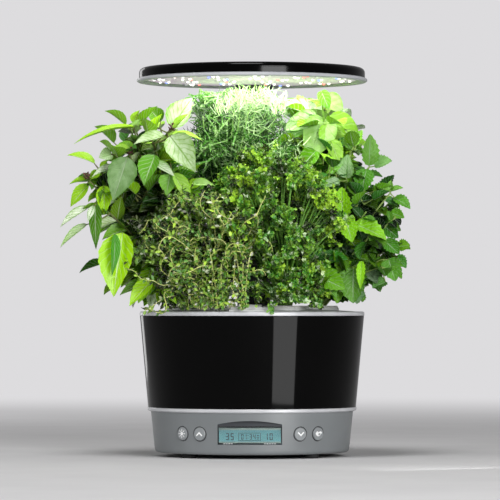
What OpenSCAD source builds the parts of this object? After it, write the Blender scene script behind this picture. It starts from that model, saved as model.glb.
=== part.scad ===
// Countertop hydroponic garden: a round water bowl with six herb pods, a pump, a front
// control panel, and a round grow light on a telescoping post behind the plants.
// Origin: on the table under the bowl's centre. +Z is up and the panel faces -Y.

/* [Base] */
// Height of the rubber feet
foot_h = 4; // [3:0.5:6]
// Diameter of each rubber foot
foot_d = 15; // [12:1:18]
// Distance of each foot from the centre lines
foot_offset = 60; // [54:1:64]
// Height of the control base, above the feet
base_h = 41; // [40:0.5:44]
// Radius of the base at its lower edge
base_bottom_r = 97.2; // [96.5:0.1:98]
// Radius of the base at its top
base_top_r = 101; // [100.6:0.1:101.4]
// Wall thickness of the plastic shells
wall = 2.4; // [2:0.1:2.6]

/* [Bowl] */
// Height of the light ring between base and bowl
trim_h = 3.8; // [3.4:0.1:4.2]
// Height of the glossy wrap round the bowl
wrap_h = 91; // [88:1:94]
// Outer radius of the wrap at its lower edge
wrap_bottom_r = 103.8; // [103.4:0.1:104.4]
// Outer radius of the wrap at its upper edge
wrap_top_r = 112; // [111.6:0.1:112.6]
// Height of the rim ring
rim_h = 4.2; // [4:0.1:4.6]

/* [Pods] */
// Distance of each pod from the centre
pod_ring_r = 66; // [64:0.5:67]
// Radius of a pod hole in the deck
pod_hole_r = 17.2; // [16.8:0.1:17.6]
// Depth of a grow basket below the deck
basket_depth = 56; // [50:1:60]

/* [Light] */
// Height of the light's underside above the table
light_z = 373.2; // [373:0.1:376]
// Radius of the light hood
hood_r = 115.4; // [115:0.1:118]
// Thickness of the black hood cap
cap_h = 11.4; // [11:0.1:13]
// Radius of the outer ring of light clusters
led_ring_r = 94; // [90:1:95]

/* [Controls] */
// Diameter of a round button
button_d = 13; // [12:0.5:13.5]
// Angle of the inner buttons from the front
inner_button_angle = 29.7; // [29:0.1:31]
// Angle of the outer buttons from the front
outer_button_angle = 42; // [41.5:0.1:43]
// Height of the button centres
button_z = 24.4; // [23:0.2:26]
// Width of the display recess
display_w = 63; // [62:0.5:64]

/* [Hidden] */
$fn = 96;
POD_ANGLES = [180, 240, 300, 120, 60, 0];
PLANTS = ["thai_basil", "thyme", "curly_parsley", "dill", "sweet_basil", "mint"];

// Heights of the stacked pieces
base_z = foot_h + base_h;
wrap_z = base_z + trim_h;
rim_z = wrap_z + wrap_h;
rim_top = rim_z + rim_h;
flange_t = 1.6;
plate_t = 2.4;
plate_top = foot_h + plate_t;
plate_r = base_bottom_r - 5;
bowl_floor = wrap_z + 2.6;

// Deck: a shallow dome with a flat seat for each pod and for the fill port
deck_edge_r = 107.3;
deck_edge_z = rim_z + flange_t;
deck_peak = rim_z + 10.2;
pod_seat_z = rim_z + 7.8;
basket_top = pod_seat_z + 1.6;
label_top = basket_top + 0.6;
root_hole_r = 5.8;
root_depth = 28;

// Fill port and its flap
port_y = -88;
port_w = 34;
port_d = 20;
port_frame_z = rim_z + 6.4;
hinge_y = -76;
hinge_z = rim_z + 9;
pin_r = 1;
running_gap = 0.05;
knuckle_r = 2.1;

// Float beside the fill port
float_x = -11;
float_ball_r = 8;
float_z = 110;
float_guide_z = 126;
float_rod_r = 1.5;

// Pump at the middle of the bowl
pump_z = bowl_floor + 2;
pump_w = 40;
pump_d = 36;
pump_h = 26;
chamber_r = 11;
chamber_h = 13;
shaft_r = 1;

// Post behind the plants, a flat tube with round corners
post_y = 90;
sleeve_size = [34, 16];
sleeve_top = 215;
tang_size = [28, 9];
post_size = [28.8, 11];
post_gap = 0.4;
post_bottom = 112;
hub_h = 9.6;

// Light hood
ring_h = 3.9;
cap_z = light_z + ring_h;
cap_r = 113;
board_z = light_z + 2.4;
board_t = 1.5;
led_h = 0.9;
led_d = 3.2;
hood_screw_r = 99;
hood_screw_angles = [for (k = [0:5]) 15 + 60 * k];

// Controls
display_y = -92.2;
display_z = 14.1;
display_side_h = 20;
display_arch = 3.4;
lcd_z = [16.1, 30.4];
board_y = -84;
button_face_r = 100.2;
button_travel = 0.6;
jack_angle = 60;
jack_z = 20;
jack_pin_r = 1.05;
base_screw_angles = [20, 160, 205, 335];
base_screw_r = 87.5;

function base_r(z) =
    base_bottom_r + (base_top_r - base_bottom_r) * (z - foot_h) / base_h;
function wrap_r(z) =
    wrap_bottom_r + (wrap_top_r - wrap_bottom_r) * (z - wrap_z) / wrap_h;
function polar(r, a, z = 0) = [r * cos(a), r * sin(a), z];

module at_polar(r, a, z = 0) {
    rotate(a) translate([r, 0, z]) children();
}

// A round piece whose axis points out along +X
module radial(r, h, x) {
    translate([x, 0, 0]) rotate([0, 90, 0]) cylinder(r = r, h = h);
}

// A flat bar with round corners, standing on its end
module post_bar(size, z0, z1, corner = 5) {
    translate([0, post_y, z0]) linear_extrude(z1 - z0) rounded_rect(size, corner);
}

module rounded_rect(size, corner) {
    inner = [size[0] - 2 * corner, size[1] - 2 * corner];
    union() {
        square([size[0], inner[1]], center = true);
        square([inner[0], size[1]], center = true);
        for (sx = [-1, 1], sy = [-1, 1])
            translate([sx * inner[0] / 2, sy * inner[1] / 2]) circle(corner);
    }
}

// ---- Base ----

module base_solid(inset = 0) {
    edge = 4;
    rotate_extrude() polygon([
        [0, foot_h],
        [base_bottom_r - edge - inset, foot_h],
        for (a = [-80:20:0])
            [base_bottom_r - edge - inset + edge * cos(a), foot_h + edge + edge * sin(a)],
        [base_top_r - inset, base_z],
        [0, base_z]]);
}

// Outline of the display recess: square corners below, a low arch on top
module display_outline(shrink = 0) {
    half = display_w / 2 - shrink;
    arch_r = (half * half + display_arch * display_arch) / (2 * display_arch);
    intersection() {
        translate([-half, shrink])
            square([2 * half, display_side_h + display_arch - 2 * shrink]);
        translate([0, display_side_h + display_arch - arch_r - shrink]) circle(arch_r);
    }
}

module display_block(y0, y1, shrink = 0) {
    translate([0, y1, display_z]) rotate([90, 0, 0])
        linear_extrude(y1 - y0) display_outline(shrink);
}

module base_housing() color("#74787b") {
    difference() {
        union() {
            difference() {
                base_solid();
                translate([0, 0, -1]) cylinder(r = plate_r + 0.2, h = plate_top + 1);
                rotate_extrude() polygon([
                    [0, plate_top], [base_r(plate_top) - wall - 1, plate_top],
                    [base_top_r - wall, base_z - wall], [0, base_z - wall]]);
                translate([0, 0, base_z - wall - 1]) cylinder(r = 90, h = wall + 2);
            }
            intersection() {
                base_solid(1);
                translate([-display_w / 2 - 10, -base_top_r, display_z - wall])
                    cube([display_w + 20, base_top_r + display_y + wall, 27.4]);
            }
            for (a = base_screw_angles) at_polar(base_screw_r, a, plate_top)
                cylinder(r = 4, h = base_z - 1 - plate_top);
        }
        display_block(-base_top_r - 5, display_y + 10);
        for (a = base_screw_angles) at_polar(base_screw_r, a, 0)
            cylinder(r = 1.5, h = 20);
        for (s = [-1, 1], a = [inner_button_angle, outer_button_angle])
            rotate(-90 + s * a) translate([0, 0, button_z])
                radial(button_d / 2 + 0.3, 30, 85);
        rotate(jack_angle) translate([0, 0, jack_z]) radial(4, 20, 90);
        translate([-tang_size[0] / 2 - 0.3, 60, plate_top])
            cube([tang_size[0] + 0.6, post_y - sleeve_size[1] / 2 + tang_size[1] - 59.7, base_z]);
    }
}

module bottom_plate() color("#3b3d3f") {
    difference() {
        translate([0, 0, foot_h]) cylinder(r = plate_r, h = plate_t);
        for (a = base_screw_angles) at_polar(base_screw_r, a, foot_h) {
            translate([0, 0, -1]) cylinder(r = 3.1, h = 2.7);
            cylinder(r = 1.7, h = plate_t + 1);
        }
        for (k = [-4:4]) translate([k * 6 - 1.2, -14, foot_h - 1])
            cube([2.4, 28, plate_t + 2]);
    }
}

module rubber_feet() color("#141414") {
    for (sx = [-1, 1], sy = [-1, 1]) translate([sx * foot_offset, sy * foot_offset, 0])
        rotate_extrude() polygon([
            [0, 0], [foot_d / 2 - 0.8, 0], [foot_d / 2, 0.8],
            [foot_d / 2, foot_h], [0, foot_h]]);
}

module base_screws() color("#b8babc") {
    for (a = base_screw_angles) at_polar(base_screw_r, a, foot_h) {
        difference() {
            cylinder(r = 2.8, h = 1.6);
            translate([-0.4, -2, -0.1]) cube([0.8, 4, 0.7]);
        }
        cylinder(r = 1.5, h = 14);
    }
}

module lower_trim_ring() color("#c9cbcd") {
    rotate_extrude() polygon([
        [99, base_z], [base_top_r + 1.6, base_z], [wrap_bottom_r + 0.4, base_z + 1],
        [wrap_bottom_r + 0.5, wrap_z - 0.5], [wrap_bottom_r, wrap_z], [99, wrap_z]]);
}

// ---- Bowl ----

module gloss_wrap() color("#0b0b0c") {
    rotate_extrude() polygon([
        [wrap_bottom_r - 2, wrap_z], [wrap_bottom_r, wrap_z],
        [wrap_top_r, rim_z], [wrap_top_r - 2, rim_z]]);
}

module rim_ring() color("#b9bbbe") {
    edge = 1.8;
    outer = wrap_top_r + 0.3;
    rotate_extrude() polygon([
        [outer - 0.7, rim_z], [outer, rim_z + 0.3],
        for (a = [0:15:90])
            [outer - edge + edge * cos(a), rim_top - edge + edge * sin(a)],
        [deck_edge_r + 0.3, rim_top], [deck_edge_r + 0.3, rim_z + flange_t],
        [outer - 0.7, rim_z + flange_t]]);
}

// The channel at the back of the bowl that the post stands in
module post_channel(grow) {
    translate([-18.5 - grow, 80 - grow, wrap_z - 1])
        cube([37 + 2 * grow, 40, wrap_h + 20]);
}

module water_bowl() color("#d9dbdc") {
    t = 2.2;
    difference() {
        union() {
            rotate_extrude() polygon([
                [0, wrap_z + 0.2], [wrap_r(wrap_z) - 2.5, wrap_z + 0.2],
                [wrap_r(rim_z) - 2.5, rim_z], [0, rim_z]]);
            translate([0, 0, rim_z]) cylinder(r = wrap_top_r - 0.6, h = flange_t);
        }
        difference() {
            rotate_extrude() polygon([
                [0, bowl_floor], [wrap_r(wrap_z) - 2.5 - t, bowl_floor],
                [104, rim_z], [104, rim_z + 5], [0, rim_z + 5]]);
            post_channel(t);
        }
        post_channel(0);
        translate([0, 0, wrap_z - 1]) cylinder(r = 8, h = 10);
    }
}

module pod_seats(r, z0, z1) {
    for (a = POD_ANGLES) at_polar(pod_ring_r, a, z0) cylinder(r = r, h = z1 - z0);
}

module grow_deck() color("#dfe1e0") {
    under = deck_edge_z;
    difference() {
        union() {
            rotate_extrude() polygon([
                [0, deck_peak - 2.6], [100, under], [deck_edge_r, under],
                [deck_edge_r, rim_top - 0.4], [100, rim_top + 0.4], [0, deck_peak]]);
            pod_seats(20.8, under + 1.4, pod_seat_z);
            translate([-port_w / 2 - 3, port_y - port_d / 2 - 3, under])
                cube([port_w + 6, port_d + 5, port_frame_z - under]);
            for (s = [-1, 1]) translate([s * 9.8 - 1.5, hinge_y, 0]) {
                translate([0, -knuckle_r, under + 1])
                    cube([3, 2 * knuckle_r, hinge_z - under - 1]);
                translate([0, 0, hinge_z]) rotate([0, 90, 0])
                    cylinder(r = knuckle_r, h = 3);
            }
        }
        pod_seats(pod_hole_r, 100, 200);
        translate([-port_w / 2, port_y - port_d / 2, 100]) cube([port_w, port_d, 100]);
        translate([-20, hinge_y, hinge_z]) rotate([0, 90, 0]) cylinder(r = pin_r, h = 40);
        translate([-17.8, 80.4, 100]) cube([35.6, 40, 100]);
        rotate_extrude() polygon([[0, under - 5], [0, deck_peak - 2.6], [100, under], [100, under - 5]]);
    }
}

module fill_flap() color("#c7cac9") {
    plate_z = port_frame_z + 0.2;
    difference() {
        union() {
            translate([-port_w / 2 - 1.4, port_y - port_d / 2 - 2, plate_z])
                cube([port_w + 2.8, hinge_y - 2.6 - (port_y - port_d / 2 - 2), 1.6]);
            translate([-7, port_y - port_d / 2 - 4.4, plate_z]) cube([14, 3, 1.6]);
            translate([-8, hinge_y, hinge_z]) rotate([0, 90, 0])
                cylinder(r = knuckle_r, h = 16);
            translate([-8, hinge_y - 3.4, plate_z + 0.3]) cube([16, 3.4, 1.8]);
        }
        translate([-9, hinge_y, hinge_z]) rotate([0, 90, 0])
            cylinder(r = pin_r + running_gap, h = 18);
    }
}

module flap_pin() color("#c8c8c8") {
    translate([-11.3, hinge_y, hinge_z]) rotate([0, 90, 0])
        cylinder(r = pin_r, h = 22.6);
}

module float_guide() color("#e4e4e2") {
    difference() {
        union() {
            translate([float_x, port_y, float_guide_z]) cylinder(r = 3.4, h = 6);
            translate([float_x - 1.5, port_y - 14, float_guide_z]) cube([3, 12, 3]);
            translate([float_x - 1.5, port_y - 14, float_guide_z])
                cube([3, 2.6, deck_edge_z - float_guide_z]);
        }
        translate([float_x, port_y, float_guide_z - 1])
            cylinder(r = float_rod_r + 0.3, h = 8);
    }
}

module water_float() color("#e0552a") {
    translate([float_x, port_y, 0]) {
        translate([0, 0, float_z]) sphere(float_ball_r);
        translate([0, 0, float_z]) cylinder(r = float_rod_r, h = 23);
        translate([0, 0, float_guide_z + 6.2]) cylinder(r = 2.8, h = 1.4);
    }
}

// ---- Pump and water path ----

module pump_housing() color("#2b2d30") {
    difference() {
        union() {
            translate([-pump_w / 2, -pump_d / 2, pump_z]) cube([pump_w, pump_d, pump_h]);
            translate([0, 0, pump_z + pump_h]) cylinder(r = 3.8, h = 6);
            for (sx = [-1, 1], sy = [-1, 1])
                translate([sx * 16.5, sy * 14.5, bowl_floor]) cylinder(r = 3, h = 3);
        }
        translate([0, 0, pump_z - 1]) cylinder(r = chamber_r, h = chamber_h + 1);
        translate([0, 0, pump_z]) cylinder(r = shaft_r, h = chamber_h + 6);
        translate([0, 0, pump_z + pump_h - 2]) cylinder(r = 2.6, h = 10);
    }
}

module pump_impeller() color("#e8e8e6") {
    z = pump_z + 2.4;
    difference() {
        union() {
            translate([0, 0, z]) cylinder(r = 3.2, h = 9);
            translate([0, 0, z]) cylinder(r = 9.5, h = 1.2);
            for (k = [0:5]) rotate(60 * k) translate([2, -0.5, z]) cube([7, 1, 8]);
        }
        translate([0, 0, z - 1]) cylinder(r = shaft_r + running_gap, h = 12);
    }
}

module impeller_shaft() color("#d0d0d0") {
    translate([0, 0, pump_z + 0.4]) cylinder(r = shaft_r, h = chamber_h + 5.6);
}

module pump_filter() color("#4a4d50") {
    difference() {
        translate([0, 0, pump_z - 1.7]) cylinder(r = 13.2, h = 1.7);
        for (k = [0:7]) rotate(45 * k) translate([5, -0.8, pump_z - 3]) cube([6, 1.6, 5]);
    }
}

module pump_coupler() color("#1d1d1f") {
    translate([0, 0, base_z - 1]) cylinder(r = 11, h = wrap_z + 0.2 - base_z + 1);
    translate([0, 0, base_z]) cylinder(r = 8, h = bowl_floor - base_z - 0.2);
    translate([-12, -9, plate_top]) cube([24, 18, base_z - 1 - plate_top]);
}

module riser_tube() color("#e9ecec") {
    difference() {
        translate([0, 0, pump_z + pump_h]) cylinder(r = 5, h = 57);
        translate([0, 0, pump_z + pump_h - 1]) cylinder(r = 3.8, h = 60);
    }
}

module water_manifold() color("#d4d7d7") {
    z = pump_z + pump_h + 54;
    difference() {
        union() {
            translate([0, 0, z]) cylinder(r = 9, h = deck_peak - 3.4 - z);
            for (a = POD_ANGLES) rotate(a) translate([0, 0, z + 5.4]) radial(2.6, 40, 6);
        }
        translate([0, 0, z - 1]) cylinder(r = 5, h = 4);
        translate([0, 0, z - 1]) cylinder(r = 4, h = 9.4);
        for (a = POD_ANGLES) rotate(a) translate([0, 0, z + 5.4]) radial(1.6, 45, 3);
    }
}

// ---- Controls ----

module control_board() color("#1f6b3a") {
    translate([-36, board_y, plate_top]) cube([72, 1.6, 34]);
}

module board_parts() color("#26282a") {
    for (p = [[-24, 14, 14, 12, 5], [2, 16, 10, 8, 3], [20, 12, 9, 14, 9],
              [-6, 30, 18, 5, 4], [22, 32, 8, 6, 4]])
        translate([p[0] - p[2] / 2, board_y + 1.6, p[1]]) cube([p[2], p[4], p[3]]);
}

module lcd_module() color("#5f9aa5") {
    back_y = display_y + wall + 0.2;
    translate([-30.2, display_y + 0.2, lcd_z[0] - 0.2])
        cube([60.4, back_y - display_y, lcd_z[1] - lcd_z[0] + 0.4]);
    translate([-33, back_y, 12]) cube([66, board_y - back_y, 26]);
}

module display_bezel() color("#3c3e42") {
    difference() {
        display_block(display_y - 0.2, display_y + 2, 0.2);
        translate([-30.4, display_y - 4, lcd_z[0] - 0.4])
            cube([60.8, 10, lcd_z[1] - lcd_z[0] + 0.8]);
    }
}

module display_lens() color([0.8, 0.9, 0.9, 0.4]) {
    translate([-31, display_y - 1, lcd_z[0] - 1])
        cube([62, 0.8, lcd_z[1] - lcd_z[0] + 2.6]);
}

module switch_bracket() color("#33363a") {
    for (s = [-1, 1]) rotate(-90 + s * (inner_button_angle + outer_button_angle) / 2)
        translate([82.4, -17, plate_top]) cube([2, 34, 28]);
}

// Each switch faces its own button, at the button's angle
module button_switches() color("#d8d8d8") {
    for (s = [-1, 1], a = [inner_button_angle, outer_button_angle])
        rotate(-90 + s * a) translate([0, 0, button_z]) {
            translate([85.6, -3, -3]) cube([5.4, 6, 6]);
            radial(1.75, 1.4, 91);
        }
}

module button_cap(angle) color("#9ea1a4") {
    rotate(-90 + angle) translate([0, 0, button_z]) rotate([0, 90, 0]) {
        rotate_extrude() polygon([
            [0, 93.6], [button_d / 2 + 1.2, 93.6], [button_d / 2 + 1.2, 94.8],
            [button_d / 2, 94.8], [button_d / 2, button_face_r - 0.6],
            [button_d / 2 - 0.6, button_face_r], [0, button_face_r + 0.3]]);
    }
}

module button_light() { button_cap(-outer_button_angle); }
module button_up() { button_cap(-inner_button_angle); }
module button_down() { button_cap(inner_button_angle); }
module button_food() { button_cap(outer_button_angle); }

module dc_jack() color("#202124") {
    rotate(jack_angle) translate([0, 0, jack_z]) {
        difference() {
            union() {
                translate([81, -4.5, -5.5]) cube([13, 9, 11]);
                radial(4, base_r(jack_z) - 90.4, 90);
            }
            radial(2.9, 20, base_r(jack_z) - 9.9);
        }
        radial(jack_pin_r, 8.6, base_r(jack_z) - 10);
    }
}

// ---- Post ----

// A tang inside the base carries the tube that stands in the bowl's channel
module post_sleeve() color("#18191b") {
    difference() {
        union() {
            post_bar(sleeve_size, base_z, sleeve_top - 2);
            translate([-tang_size[0] / 2, post_y - sleeve_size[1] / 2, plate_top])
                cube([tang_size[0], tang_size[1], base_z - plate_top]);
        }
        post_bar(post_size + 2 * [post_gap, post_gap], base_z + 3, sleeve_top, 4);
    }
}

module post_collar() color("#26282a") {
    difference() {
        post_bar(sleeve_size + [2, 2], sleeve_top - 2, sleeve_top + 3, 6);
        post_bar(post_size + [0.6, 0.6], sleeve_top - 3, sleeve_top + 4, 3.8);
    }
}

module light_post() color("#8f9396") {
    difference() {
        post_bar(post_size, post_bottom, light_z - 0.6, 3.6);
        post_bar(post_size - [4, 4], post_bottom - 1, light_z - 10, 2);
    }
}

module hood_hub() color("#1b1c1e") {
    difference() {
        post_bar([38, 20], board_z - hub_h, board_z, 6);
        post_bar(post_size, board_z - hub_h - 1, light_z - 0.6, 3.6);
    }
}

// ---- Hood ----

module hood_cap() color("#09090a") {
    edge = 5;
    side_top = cap_z + cap_h - 1.2 - edge;
    difference() {
        union() {
            difference() {
                rotate_extrude() polygon([
                    [0, cap_z], [cap_r, cap_z],
                    for (a = [0:10:90])
                        [cap_r - edge + edge * cos(a), side_top + edge * sin(a)],
                    [0, cap_z + cap_h]]);
                rotate_extrude() polygon([
                    [0, cap_z - 1], [cap_r - 2.2, cap_z - 1], [cap_r - 2.2, side_top],
                    [cap_r - edge, side_top + 2.6], [0, side_top + 3.8]]);
            }
            for (a = hood_screw_angles) at_polar(hood_screw_r, a, cap_z)
                cylinder(r = 3.4, h = side_top + 3 - cap_z);
        }
        for (a = hood_screw_angles) at_polar(hood_screw_r, a, cap_z - 1)
            cylinder(r = 1.25, h = 6);
    }
}

module hood_ring() color("#c4c6c8") {
    inner = 104.4;
    rotate_extrude() polygon([
        [inner + 3, light_z + 1.6], [inner + 5.4, light_z], [hood_r - 1.6, light_z],
        [hood_r - 0.3, light_z + 0.8], [hood_r, light_z + 2],
        [hood_r - 0.6, light_z + 3.2], [cap_r + 0.2, cap_z], [inner, cap_z],
        [inner, light_z + 2.6], [inner + 3, light_z + 2.6]]);
}

module led_board() color("#a7acb1") {
    difference() {
        translate([0, 0, board_z]) cylinder(r = 104.2, h = board_t);
        for (a = hood_screw_angles) at_polar(hood_screw_r, a, board_z - 1)
            cylinder(r = 1.4, h = 5);
    }
}

// Light clusters: rings of three chips each, as [radius, clusters, first angle]
LED_RINGS = [[led_ring_r, 12, 10], [66, 9, 36], [31, 5, 61]];
LED_SPOTS = [for (g = LED_RINGS, k = [0:g[1] - 1], j = [0:2])
    let (a = g[2] + 360 * k / g[1], b = a + 120 * j + 55 * k,
         colour = j > 0 ? "white" : k % 3 == 1 ? "red" : k % 3 == 2 ? "blue" : "white",
         p = polar(g[0], a) + polar(5.2, b))
    if (abs(p[0]) > 24 || p[1] < 70) [p, colour]];

module leds(colour) {
    for (s = LED_SPOTS) if (s[1] == colour) translate([s[0][0], s[0][1], board_z - led_h])
        cylinder(r = led_d / 2, h = led_h, $fn = 24);
}

module leds_white() color("#ffffff") { leds("white"); }
module leds_red() color("#ff4a3c") { leds("red"); }
module leds_blue() color("#3a5cff") { leds("blue"); }

module hood_screws() color("#9a9da0") {
    for (a = hood_screw_angles) at_polar(hood_screw_r, a, board_z) {
        translate([0, 0, -1.3]) cylinder(r = 2.3, h = 1.3);
        cylinder(r = 1.25, h = board_t + 4);
    }
}

// ---- Pods ----

module grow_basket(angle) color("#e9eae8") {
    top_r = pod_hole_r - 0.5;
    bottom_r = 11;
    bottom = basket_top - basket_depth;
    at_polar(pod_ring_r, angle) difference() {
        union() {
            translate([0, 0, bottom])
                cylinder(r1 = bottom_r, r2 = top_r, h = pod_seat_z - bottom);
            translate([0, 0, pod_seat_z]) cylinder(r = 20, h = basket_top - pod_seat_z);
        }
        translate([0, 0, bottom + 1.4])
            cylinder(r1 = bottom_r - 1.1, r2 = top_r - 1.3, h = basket_depth);
        for (k = [0:3]) rotate(45 + 90 * k)
            translate([5, -1.6, bottom + 6]) cube([20, 3.2, basket_depth - 22]);
        translate([0, 0, bottom - 1]) cylinder(r = 4, h = 5);
    }
}

module grow_sponges() color("#7a6a4c") {
    bottom = basket_top - basket_depth + 1.4;
    height = basket_top - 1 - bottom;
    for (a = POD_ANGLES) at_polar(pod_ring_r, a, bottom) difference() {
        cylinder(r1 = 9.6, r2 = pod_hole_r - 2.4, h = height);
        translate([0, 0, height - root_depth]) cylinder(r = root_hole_r, h = 40);
    }
}

module pod_labels() color("#f1f1ec") {
    for (a = POD_ANGLES) at_polar(pod_ring_r, a, basket_top) difference() {
        cylinder(r = 19.4, h = label_top - basket_top);
        translate([0, 0, -1]) cylinder(r = 8.5, h = 3);
    }
}

// ---- Plants ----
// Each plant is a root plug in its sponge, a bunch of bent stems, a clump of foliage at
// the end of each stem, and large leaves standing out of the clumps.

// Crown of each plant, in the order of PLANTS: its centre and its half sizes
CROWNS = [
    [[-106, -8, 248], [46, 40, 80]],
    [[-34, -84, 200], [64, 26, 48]],
    [[26, -64, 230], [42, 36, 66]],
    [[-22, 42, 318], [40, 30, 46]],
    [[62, 46, 316], [28, 32, 42]],
    [[100, -8, 230], [40, 46, 76]]];

// How far out of the crown's centre a reaching leaf's stalk starts
reach_root = 0.3;

// Leaves that reach beyond the clumps of each plant: base, tip and width
REACHING = [
    [[[-115, -20, 328], [-177, -30, 310], 11], [[-155, -30, 291], [-183, -34, 299], 11],
     [[-161, -36, 274], [-196, -40, 251], 15], [[-160, -40, 248], [-189, -46, 227], 12],
     [[-162, -40, 231], [-189, -46, 207], 11], [[-154, -46, 253], [-153, -50, 205], 13],
     [[-122, -50, 297], [-136, -58, 253], 28], [[-126, -56, 222], [-134, -62, 158], 34],
     [[-80, -20, 327], [-59, -16, 357], 24], [[-80, -46, 318], [-54, -60, 281], 27],
     [[-91, 0, 334], [-104, 4, 349], 17], [[-86, -30, 318], [-62, -34, 338], 22],
     [[-76, -54, 281], [-60, -64, 250], 16], [[-92, -50, 299], [-105, -60, 268], 22]],
    [], [], [],
    [[[66, 34, 341], [31, 24, 351], 24], [[73, 30, 339], [57, 14, 298], 32],
     [[66, 26, 339], [32, 12, 326], 20]],
    [[[117, -10, 289], [118, -12, 321], 18], [[122, -10, 289], [140, -14, 294], 16],
     [[94, -30, 276], [96, -34, 300], 20], [[90, -50, 237], [90, -54, 267], 22],
     [[102, -50, 231], [134, -60, 214], 22], [[136, -20, 197], [143, -28, 174], 20],
     [[103, -56, 190], [101, -70, 154], 28]]];

function plant_foot(k) = polar(pod_ring_r, POD_ANGLES[k], label_top - 0.2);

// How far p is from the plant's leaning axis, in crown half sizes
function crown_distance(p, k) =
    let (foot = plant_foot(k), crown = CROWNS[k][0], size = CROWNS[k][1],
         rise = (p[2] - foot[2]) / (crown[2] - foot[2]),
         away = p - (foot + (crown - foot) * min(max(rise, 0), 1)))
    norm([away[0] / size[0], away[1] / size[1], rise > 1 ? away[2] / size[2] : 0]);

// True where the plant's foliage may be: nearer to its own axis than to any other,
// clear of post, flap, deck and light
function clear_of_all(p, k, gap = 0.05) =
    let (own = crown_distance(p, k) + gap, r = norm([p[0], p[1]]))
    len([for (other = [0:len(CROWNS) - 1])
        if (other != k && crown_distance(p, other) < own) other]) == 0
    && p[2] < light_z - 3
    && p[2] > (r > 119 ? rim_z - 4 : basket_top + 2)
    && !(abs(p[0]) < 22 && p[1] > 73)
    && !(abs(p[0]) < 27 && p[1] < -62 && p[2] < 185);

function all_clear(pts, k) = len([for (p = pts) if (clear_of_all(p, k)) 1]) == len(pts);

function unit(v) = v / max(norm(v), 0.001);
function bend(a, b, c, t) = a * (1 - t) * (1 - t) + b * 2 * t * (1 - t) + c * t * t;

// A stem rises steeply from its start, then leans over to its end
function stem_path(start, end) =
    let (bow = [(start[0] * 2 + end[0]) / 3, (start[1] * 2 + end[1]) / 3,
                start[2] + (end[2] - start[2]) * 0.6])
    [for (t = [0, 0.5, 1]) bend(start, bow, end, t)];

// Six corners of one leaf: base, tip, two sides, and the middle of each face
function leaf_points(base, dir, length, width, thick) =
    let (d = unit(dir), s = unit(cross(d, [0.1, 0.2, 1])), n = cross(s, d),
         mid = base + d * length * 0.5)
    [base, base + d * length - n * length * 0.1,
     mid + s * width / 2, mid - s * width / 2, mid + n * thick / 2, mid - n * thick / 2];

module leaf(pts) {
    hull() polyhedron(pts, [[0, 2, 4], [2, 1, 4], [1, 3, 4], [3, 0, 4],
                            [2, 0, 5], [1, 2, 5], [3, 1, 5], [0, 3, 5]]);
}

// A leaf that arches from its base over to its tip, in two flat halves
module arched_leaf(base, tip, width) {
    d = unit(tip - base);
    s = unit(cross(d, [0.1, 0.2, 1]));
    n = cross(s, d);
    length = norm(tip - base);
    mid = (base + tip) / 2 + n * length * 0.12;
    rib = [mid + s * width / 2, mid - s * width / 2,
           mid + n * width * 0.06, mid - n * width * 0.06];
    for (end = [base, tip]) hull()
        polyhedron(concat([end], rib), [[0, 1, 3], [0, 3, 2], [0, 2, 4], [0, 4, 1],
                                        [1, 4, 2], [1, 2, 3]]);
}

module knot(p, r) {
    translate(p) cylinder(r = r, h = 0.6, center = true, $fn = 4);
}

// A bent stem of thinning rods
module stem(path, r) {
    for (k = [0:len(path) - 2]) hull() {
        knot(path[k], r * (1 - 0.2 * k));
        knot(path[k + 1], r * (0.8 - 0.2 * k));
    }
}

function box_points(p, r) =
    [for (d = [[1, 0, 0], [-1, 0, 0], [0, 1, 0], [0, -1, 0], [0, 0, 1], [0, 0, -1]]) p + d * r];

// The largest of a few radii at which a clump is clear of everything, or 0
function clump_radius(p, r, k) =
    let (fits = [for (f = [1, 0.85, 0.7, 0.55]) if (all_clear(box_points(p, r * f), k)) f])
    len(fits) ? r * fits[0] : 0;

// Clump k of n, spread over the crown ellipsoid from the bottom up by the golden angle.
// Every third one sits halfway in, so that the crown isn't hollow.
function clump_place(crown, size, k, n) =
    let (h = 2 * (k + 0.5) / n - 1, spread = sqrt(1 - h * h), turn = 137.5 * k,
         depth = k % 3 == 0 ? 0.5 : 1)
    crown + depth * [size[0] * spread * cos(turn), size[1] * spread * sin(turn), size[2] * h];

module plant(index, tone, clumps, clump_r, leaves, leaf_l, leaf_w, stem_r) {
    foot = plant_foot(index);
    crown = CROWNS[index][0];
    size = CROWNS[index][1];
    color(tone) {
        translate([foot[0], foot[1], basket_top - 1 - root_depth])
            cylinder(r = root_hole_r - 0.4, h = root_depth + 3, $fn = 12);
        for (k = [0:clumps - 1]) {
            start = foot + polar(root_hole_r - 0.6 - stem_r, 137.5 * k);
            end = clump_place(crown, size, k, clumps);
            r = clump_radius(end, clump_r * (1.1 - 0.2 * (k % 3)), index);
            path = stem_path(start, end);
            if (r > 0 && all_clear([path[1], end], index)) {
                stem(path, stem_r);
                translate(end) rotate([0, 0, 40 * k]) scale([1, 1, 0.85])
                    hull() sphere(r, $fn = 7);
                for (j = [0:leaves - 1]) {
                    turn = 360 * j / leaves + 50 * k;
                    out = unit(end - crown) + 0.9 * [cos(turn), sin(turn), 0.6 * sin(2 * turn)];
                    pts = leaf_points(end + unit(out) * r * 0.6, out, leaf_l, leaf_w,
                                      leaf_w * 0.12);
                    if (all_clear(pts, index)) leaf(pts);
                }
            }
        }
        for (reach = REACHING[index]) {
            stem([crown + (reach[0] - crown) * reach_root, reach[0]], stem_r);
            arched_leaf(reach[0], reach[1], reach[2]);
        }
    }
}

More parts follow.
